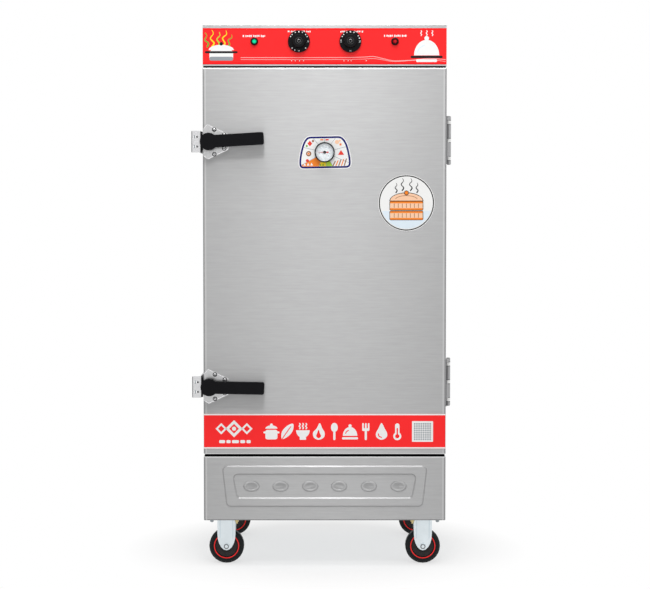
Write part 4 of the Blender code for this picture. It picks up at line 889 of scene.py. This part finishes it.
def pictogram(art, kind, x, z, white, cut):
    """A bold kitchen sign about 34 mm wide and 40 mm high."""
    if kind == "bowl":
        art.fill(arc(x, z + 4, 17, 180, 360, 30, tall=19), white)
        art.box(x - 8, z - 20, x + 8, z - 13, white, 1.4, 1.5)
        for dx in (-8, 0, 8):
            wisp(art, x + dx, z + 7.5, 0.75, 3.0, white)
    elif kind == "spoon":
        art.disc(x, z + 11, 8.5, white, tall=11.5)
        art.stroke([(x, z + 2), (x, z - 18)], 5.5, white)
    elif kind == "fork":
        for dx in (-7, 0, 7):
            art.stroke([(x + dx, z + 20), (x + dx, z + 7)], 4.0, white)
        art.box(x - 9, z + 2, x + 9, z + 9, white, 1.4, 3)
        art.stroke([(x, z + 3), (x, z - 18)], 5.5, white)
    elif kind == "flame":
        line = [(0, -20), (13, -14), (15, -2), (9, 9), (3, 22), (-4, 10), (-8, 5), (-14, -2), (-12, -14)]
        art.curve(line, x, z, white)
        inner = [(0, -16), (6, -11), (3, -3), (0, 5), (-4, -4), (-6, -11)]
        art.curve(inner, x, z, cut, 2)
    elif kind == "drop":
        line = [(0, -20), (12, -14), (14, -4), (8, 8), (0, 22), (-8, 8), (-14, -4), (-12, -14)]
        art.curve(line, x, z, white)
        art.stroke(scaled(smooth([(-8, -5), (-6, -11), (0, -14)], closed=False), x, z, 1.0), 2.6, cut, 2)
    elif kind == "leaf":
        line = [(-13, -18), (-13, 0), (0, 15), (15, 20), (14, 3), (3, -11)]
        art.curve(line, x, z, white)
        art.stroke([(x - 12, z - 17), (x + 9, z + 13)], 2.2, cut, 2)
    elif kind == "cloche":
        art.fill(arc(x, z - 10, 18, 0, 180, 30, tall=22), white)
        art.disc(x, z + 15, 4, white, 1.4, count=20)
        art.box(x - 20, z - 19, x + 20, z - 13.5, white, 1, 2.5)
        art.stroke(arc(x, z - 8, 12, 110, 160, 8), 2.4, cut, 2)
    elif kind == "pot":
        art.box(x - 15, z - 19, x + 15, z + 5, white, 1, 5)
        art.box(x - 20, z - 4, x + 20, z + 1, white, 1.4, 2)
        art.fill(arc(x, z + 8, 15, 0, 180, 24, tall=8), white)
        art.disc(x, z + 17.5, 3.4, white, 1.4, count=20)
    elif kind == "gauge":
        art.box(x - 5.5, z - 12, x + 5.5, z + 21, white, 1, 5)
        art.disc(x, z - 11, 10, white, 1.4)
        art.stroke([(x, z - 11), (x, z + 8)], 3.4, cut, 2)
        art.disc(x, z - 11, 5.2, cut, 2.4, count=24)


def label_bars(art, x, z, widths, height, length, seed):
    """A row of small plain bars in groups of four."""
    at, i, gap = x - length / 2, seed, 1.1
    while at < x + length / 2:
        width = widths[i % len(widths)]
        low = z - height / 2 + (0.9 if i % 3 == 0 else 0.0)
        high = z + height / 2 - (1.0 if i % 4 == 1 else 0.0)
        art.box(at, low, min(at + width, x + length / 2), high, WHITE, 1, 0.4)
        at += width + (3.4 * gap if i % 4 == 3 else gap)
        i += 1


def panel_film():
    art = Art("panel_print", FILM_FACE)
    art.box(-349, 1452.7, 349, 1457.0, DARK_RED, 0.3)
    art.box(-349, 1551.6, 349, 1555.2, DARK_RED, 0.3)
    # Pinstripes: (x, z, share of the drop to the lower line)
    path = (
        *((-240, 1471.6, 1), (-100, 1471.6, 1), (40, 1471.8, 1), (110, 1473.0, 1), (140, 1474.6, 1)),
        *((170, 1468, 0.6), (200, 1462.6, 0.4), (250, 1464.5, 0.2), (300, 1469, 0.5), (346, 1466, 1)),
    )
    for drop, width in ((0.0, 1.5), (-5.7, 1.1)):
        line = [(x, z + drop * share) for x, z, share in path]
        art.stroke(smooth(line, closed=False), width, PINK_LINE, 1)
    # Plain bars over the lamps and knobs
    label_bars(art, -202.5, 1533.0, [3, 5, 3, 4], 6.0, 64, 7)
    label_bars(art, 202.0, 1533.6, [4, 3, 5, 3], 6.0, 64, 11)
    label_bars(art, -72.5, 1545.8, [3, 4, 3, 5], 5.0, 66, 3)
    label_bars(art, 78.0, 1545.6, [4, 3, 3, 5], 5.0, 66, 5)
    # Small dots under the knobs
    for x in (-94.6, -84, -72, -60.2, 55.5, 67.4, 75.7, 119.2):
        art.disc(x, 1462.6, 1.3, WHITE, 2, count=12)
    # Lidded pot with curling steam, left
    for dx, size, turn, tint in (
        (-336, 2.2, 10, GREEN),
        (-322, 2.6, 2, YELLOW),
        (-307, 2.3, -6, LIME),
        (-293, 2.6, -12, YELLOW),
        (-279, 2.0, -20, GREEN),
    ):
        wisp(art, dx, 1503, size, 5.0, tint, 1, turn, taper=1.5)
    art.box(-330, 1463, -262, 1494, WHITE, 2, 10)
    art.box(-330, 1463, -262, 1474, GREY_INK, 3, 5)
    art.box(-343, 1484, -249, 1490, BLACK_INK_AND_SHADE, 3, 3)
    art.fill(arc(-296, 1493, 36, 0, 180, 30, tall=15), WHITE, 2.5)
    art.disc(-296, 1511, 5, BLACK_INK_AND_SHADE, 3, count=20)
    # Dish cover on a tray, right
    art.fill(arc(292, 1478, 36, 0, 180, 36, tall=44), WHITE, 2)
    art.disc(292, 1526.5, 6.5, WHITE, 2.4, count=24)
    art.stroke(arc(292, 1480, 27, 105, 165, 10), 3.0, PALE, 3)
    art.box(246, 1470, 338, 1477, BLACK_INK_AND_SHADE, 2.6, 3.5)
    art.box(262, 1459, 322, 1467, WHITE, 2, 3)
    for dx in (276, 292, 308):
        wisp(art, dx, 1534, 0.8, 2.4, WHITE, 2)
    art.make("cabinet")


def band_film():
    art = Art("band_print", FILM_FACE)
    art.box(-349, 443.2, 349, 447.0, WHITE, 0.4)
    art.box(-349, 346.4, 349, 350.2, WHITE, 0.4)
    # Plain emblem of a diamond between smaller ones
    for x, size in ((-299, 0.66), (-262, 1.0), (-225, 0.66)):
        outer = scaled([(0, -25), (25, 0), (0, 25), (-25, 0)], x, 404, size)
        inner = scaled([(0, -14), (14, 0), (0, 14), (-14, 0)], x, 404, size)
        art.fill(outer, WHITE, 1)
        art.fill(inner, RED_FILM, 2)
    art.disc(-262, 404, 6, WHITE, 3, count=28)
    for at, width in ((-305, 17), (-284, 12), (-268, 20), (-244, 14), (-226, 12)):
        art.box(at, 362, at + width, 371, WHITE, 1, 3)
    signs = ("pot", "leaf", "bowl", "flame", "spoon", "cloche", "fork", "drop", "gauge")
    for i, kind in enumerate(signs):
        art.middle, art.size = (-154 + 45.5 * i, 395), 1.16
        pictogram(art, kind, *art.middle, WHITE, RED_FILM)
    art.size = 1.0
    # White square with a regular grid
    art.box(252.6, 366, 313.5, 426, WHITE, 1, 1.5)
    for i in range(8):
        for j in range(8):
            art.box(*(258.1 + 6.4 * i, 371.1 + 6.4 * j), *(262.6 + 6.4 * i, 375.6 + 6.4 * j), GREY_INK, 2)
    art.make("door")


def shifted(points, distance):
    """A closed anticlockwise outline moved outward by a distance."""
    made = []
    for i, (x, z) in enumerate(points):
        ax, az = points[i - 1]
        bx, bz = points[(i + 1) % len(points)]
        length = math.hypot(bx - ax, bz - az)
        made.append((x + (bz - az) / length * distance, z - (bx - ax) / length * distance))
    return made


def gauge_sticker():
    """A rounded tapered plate with a navy border and coloured fields fanned round the dial."""
    art = Art("gauge_plate", DOOR_FACE - 0.05 * mm, GAUGE, turn=1.0)
    right = [(20, -42.6), (58, -42.6), (67, -41), (71.2, -35), (71.2, -20), (68.5, -3), (65, 12)]
    top = [(60.5, 25), (53.5, 36), (44, 42.4), (20, 43), (-20, 43), (-44, 42.4), (-53.5, 35), (-59.5, 24)]
    left = [(-63.8, 11), (-67.2, -3), (-70, -20), (-70.3, -35), (-66.5, -41), (-58, -42.6), (-20, -42.6)]
    border = smooth(right + top + left, steps=4)
    art.fill(shifted(border, 5.2), WHITE, 1)
    art.fill(shifted(border, 2.6), NAVY, 2)
    art.fill(shifted(border, -2.7), WHITE, 3)
    limit = shifted(border, -3.0)

    def edge(angle):
        dx, dz = polar(1.0, angle)
        reach = clip_reach(limit, dx, dz)
        return reach * dx, reach * dz

    def field(start, end, tint):
        outer = [edge(start + (end - start) * i / 12) for i in range(13)]
        art.band(arc(0, 0, 27, start, end, 13), outer, tint, 4)

    field(208, 246, ORANGE)
    field(246, 276, YELLOW)
    field(276, 300, LIME)
    for angle in (14, 52, 90, 128, 166, 208, 246, 276, 300, 336):
        art.stroke([polar(27, angle), edge(angle)], 1.0, GREY_INK, 5, round_ends=False)
    diamond = [(0, -8), (7, 0), (0, 8), (-7, 0)]
    art.fill(scaled(diamond, -42, 26, 1.0), TOMATO, 5)
    art.fill(scaled(diamond, -33, 33, 0.55), BROWN, 5)
    art.fill(scaled(diamond, -51, 19, 0.5), GREEN, 5)
    for x, z, size in ((36, 29, 6.0), (46, 22, 4.4), (44, 33, 3.0)):
        art.disc(x, z, size, PEACH, 5, count=24)
    art.disc(46, 22, 2.0, TOMATO, 6, count=16)
    art.box(-12, 34.5, -3, 38.0, ORANGE, 5)
    art.box(3, 34.5, 12, 38.0, TOMATO, 5)
    art.ring(-46, -3, 7.5, 4.0, BROWN, 5)
    art.disc(-46, -3, 3.0, ORANGE, 5, count=20)
    art.fill(scaled([(-9, -6), (9, -6), (0, 8)], 47, -2, 1.0), TOMATO, 5)
    for x in (-58, -48, -38):
        art.fill(scaled([(-4, -4), (4, -4), (0, 4)], x, -33, 1.0), WHITE, 5)
    art.disc(-50, -23, 4.5, TOMATO, 5, count=20)
    for x in (-13, -5):
        art.disc(x, -36, 2.4, GREEN, 5, count=16)
    for i in range(5):
        art.stroke([(24 + 8 * i, -38), (30 + 8 * i, -26 + 1.5 * i)], 3.0, (BROWN, ORANGE)[i % 2], 5)
    art.make("door")


def clip_reach(outline, dx, dz):
    """How far a ray from the middle runs before it meets the outline."""
    best = 1000.0
    for (ax, az), (bx, bz) in zip(outline, outline[1:] + outline[:1]):
        ex, ez = bx - ax, bz - az
        cross = dx * ez - dz * ex
        if abs(cross) < 1e-9:
            continue
        t = (ax * ez - az * ex) / cross
        u = (ax * dz - az * dx) / cross
        if t > 0 and -1e-6 <= u <= 1 + 1e-6:
            best = min(best, t)
    return best


def round_sticker():
    """A white disc in a dark ring, with a stacked steamer basket and steam."""
    art = Art("round_sticker", DOOR_FACE - 0.05 * mm, STICKER)
    art.disc(0, 0, 81, WHITE, 1, count=72)
    art.ring(0, 0, 79.3, 76.2, BLACK_INK_AND_SHADE, 2, count=72)
    art.fill(arc(0, 0, 74, 198, 342, 40), PALE, 2)
    # Two basket tiers and a lid
    for low, wide in ((-48, 47), (-20, 47)):
        art.box(-wide - 1.6, low - 1.6, wide + 1.6, low + 25.6, BLACK_INK_AND_SHADE, 3, 4)
        art.box(-wide, low, wide, low + 24, PEACH, 4, 3)
        art.box(-wide, low, wide, low + 5, ORANGE, 5, 2)
        art.box(-wide, low + 19, wide, low + 24, ORANGE, 5, 2)
        for i in range(7):
            x = -wide + 12 + i * 11.6
            art.stroke([(x, low + 6.5), (x, low + 17.5)], 1.6, BROWN, 5)
    art.fill(arc(0, 5, 49, 0, 180, 40, tall=25), BLACK_INK_AND_SHADE, 3)
    art.fill(arc(0, 6.6, 46.5, 0, 180, 40, tall=21.5), PEACH, 4)
    art.stroke(arc(0, 8, 33, 20, 160, 24, tall=13), 1.4, BROWN, 5)
    art.disc(0, 29, 7, BLACK_INK_AND_SHADE, 5, count=24)
    art.disc(0, 29, 5, ORANGE, 6, count=24)
    for x, size in ((-30, 1.5), (-12, 1.9), (12, 1.9), (30, 1.5)):
        wisp(art, x, 36 if abs(x) < 20 else 30, size, 3.6, BLACK_INK_AND_SHADE, 3, taper=1.2)
    art.make("door")


for level in ("upper", "lower"):
    latch_screws(level)
    plate_highlight_lines(level)
    keeper_fixings(level)
for level in ("upper", "lower"):
    hinge_shade_rings(level)
knob_marks()
lamp_collars()
gap_strips()
thermometer_parts()
caster_parts()
emboss_marks()
back_fixings()
panel_film()
band_film()
gauge_sticker()
round_sticker()


# Floor, light and camera


def floor_material():
    """Pale floor that keeps soft shadows near the object and fades to plain white away from it."""
    t = Tree(bpy.data.materials.new("floor_paper"))
    t.set(base_color=(0.86, 0.86, 0.86), roughness=0.9, specular_ior_level=0.0)
    glow = t.add("ShaderNodeEmission")
    mix = t.add("ShaderNodeMixShader")
    path = t.add("ShaderNodeLightPath")
    seen = t.maths("MAXIMUM", path.outputs["Is Camera Ray"], path.outputs["Is Glossy Ray"])
    coordinates = t.add("ShaderNodeTexCoord")
    distance = t.add("ShaderNodeVectorMath", operation="LENGTH")
    t.link(coordinates.outputs["Object"], distance.inputs[0])
    share = t.remap(distance.outputs["Value"], 0.62, 1.0, 0.38, 0.62)
    t.link(t.maths("MULTIPLY", seen, share), mix.inputs["Fac"])
    t.link(t.shader.outputs["BSDF"], mix.inputs[1])
    t.link(glow.outputs["Emission"], mix.inputs[2])
    t.link(mix.outputs["Shader"], t.tree.nodes["Material Output"].inputs["Surface"])
    return t.owner


def make_floor():
    mesh = bmesh.new()
    bmesh.ops.create_circle(mesh, cap_ends=True, radius=4.0, segments=96)
    modelled("floor", mesh, [floor_material()])


def make_world():
    """White to the camera and in reflections, softer on diffuse surfaces."""
    world = bpy.data.worlds.new("studio")
    bpy.context.scene.world = world
    t = Tree(world)
    path = t.add("ShaderNodeLightPath")
    seen = t.maths("MAXIMUM", path.outputs["Is Camera Ray"], path.outputs["Is Glossy Ray"])
    seen = t.maths("MAXIMUM", seen, path.outputs["Is Transmission Ray"])
    background = t.tree.nodes["Background"]
    background.inputs["Color"].default_value = (1, 1, 1, 1)
    t.link(t.remap(seen, 0.58, 1.0, 0.0, 1.0), background.inputs["Strength"])


def softbox(name, place, target, size, power):
    """A large area lamp, unseen by the camera."""
    lamp = bpy.data.lights.new(name, "AREA")
    lamp.shape = "RECTANGLE"
    lamp.size, lamp.size_y = size
    lamp.energy = power
    holder = added(name, lamp)
    holder.location = place
    holder.rotation_euler = (Vector(target) - Vector(place)).to_track_quat("-Z", "Y").to_euler()
    holder.visible_camera = False


def make_camera():
    lens = bpy.data.cameras.new("camera")
    lens.lens = 95.6
    lens.sensor_width = 36.0
    lens.sensor_fit = "HORIZONTAL"
    camera = added("camera", lens)
    camera.location = (0.001, -5.269, 1.022)
    camera.rotation_euler = (math.radians(90 - 2.644), 0, 0)
    bpy.context.scene.camera = camera


make_floor()
make_world()
softbox("strip", (0.0, -5.2, 1.15), (0, 0, 1.05), (0.24, 2.6), 5.0)
softbox("key", (0.0, -2.9, 4.1), (0, 0, 0.9), (0.9, 0.8), 38)
softbox("left_fill", (-3.6, -2.2, 2.0), (0, 0, 0.8), (1.6, 2.4), 7.5)
softbox("right_fill", (3.6, -2.2, 2.0), (0, 0, 0.8), (1.6, 2.4), 9.5)
softbox("top", (0, -1.0, 3.4), (0, -0.3, 0.8), (2.2, 1.0), 32)
make_camera()
bpy.context.scene.view_settings.view_transform = "Standard"
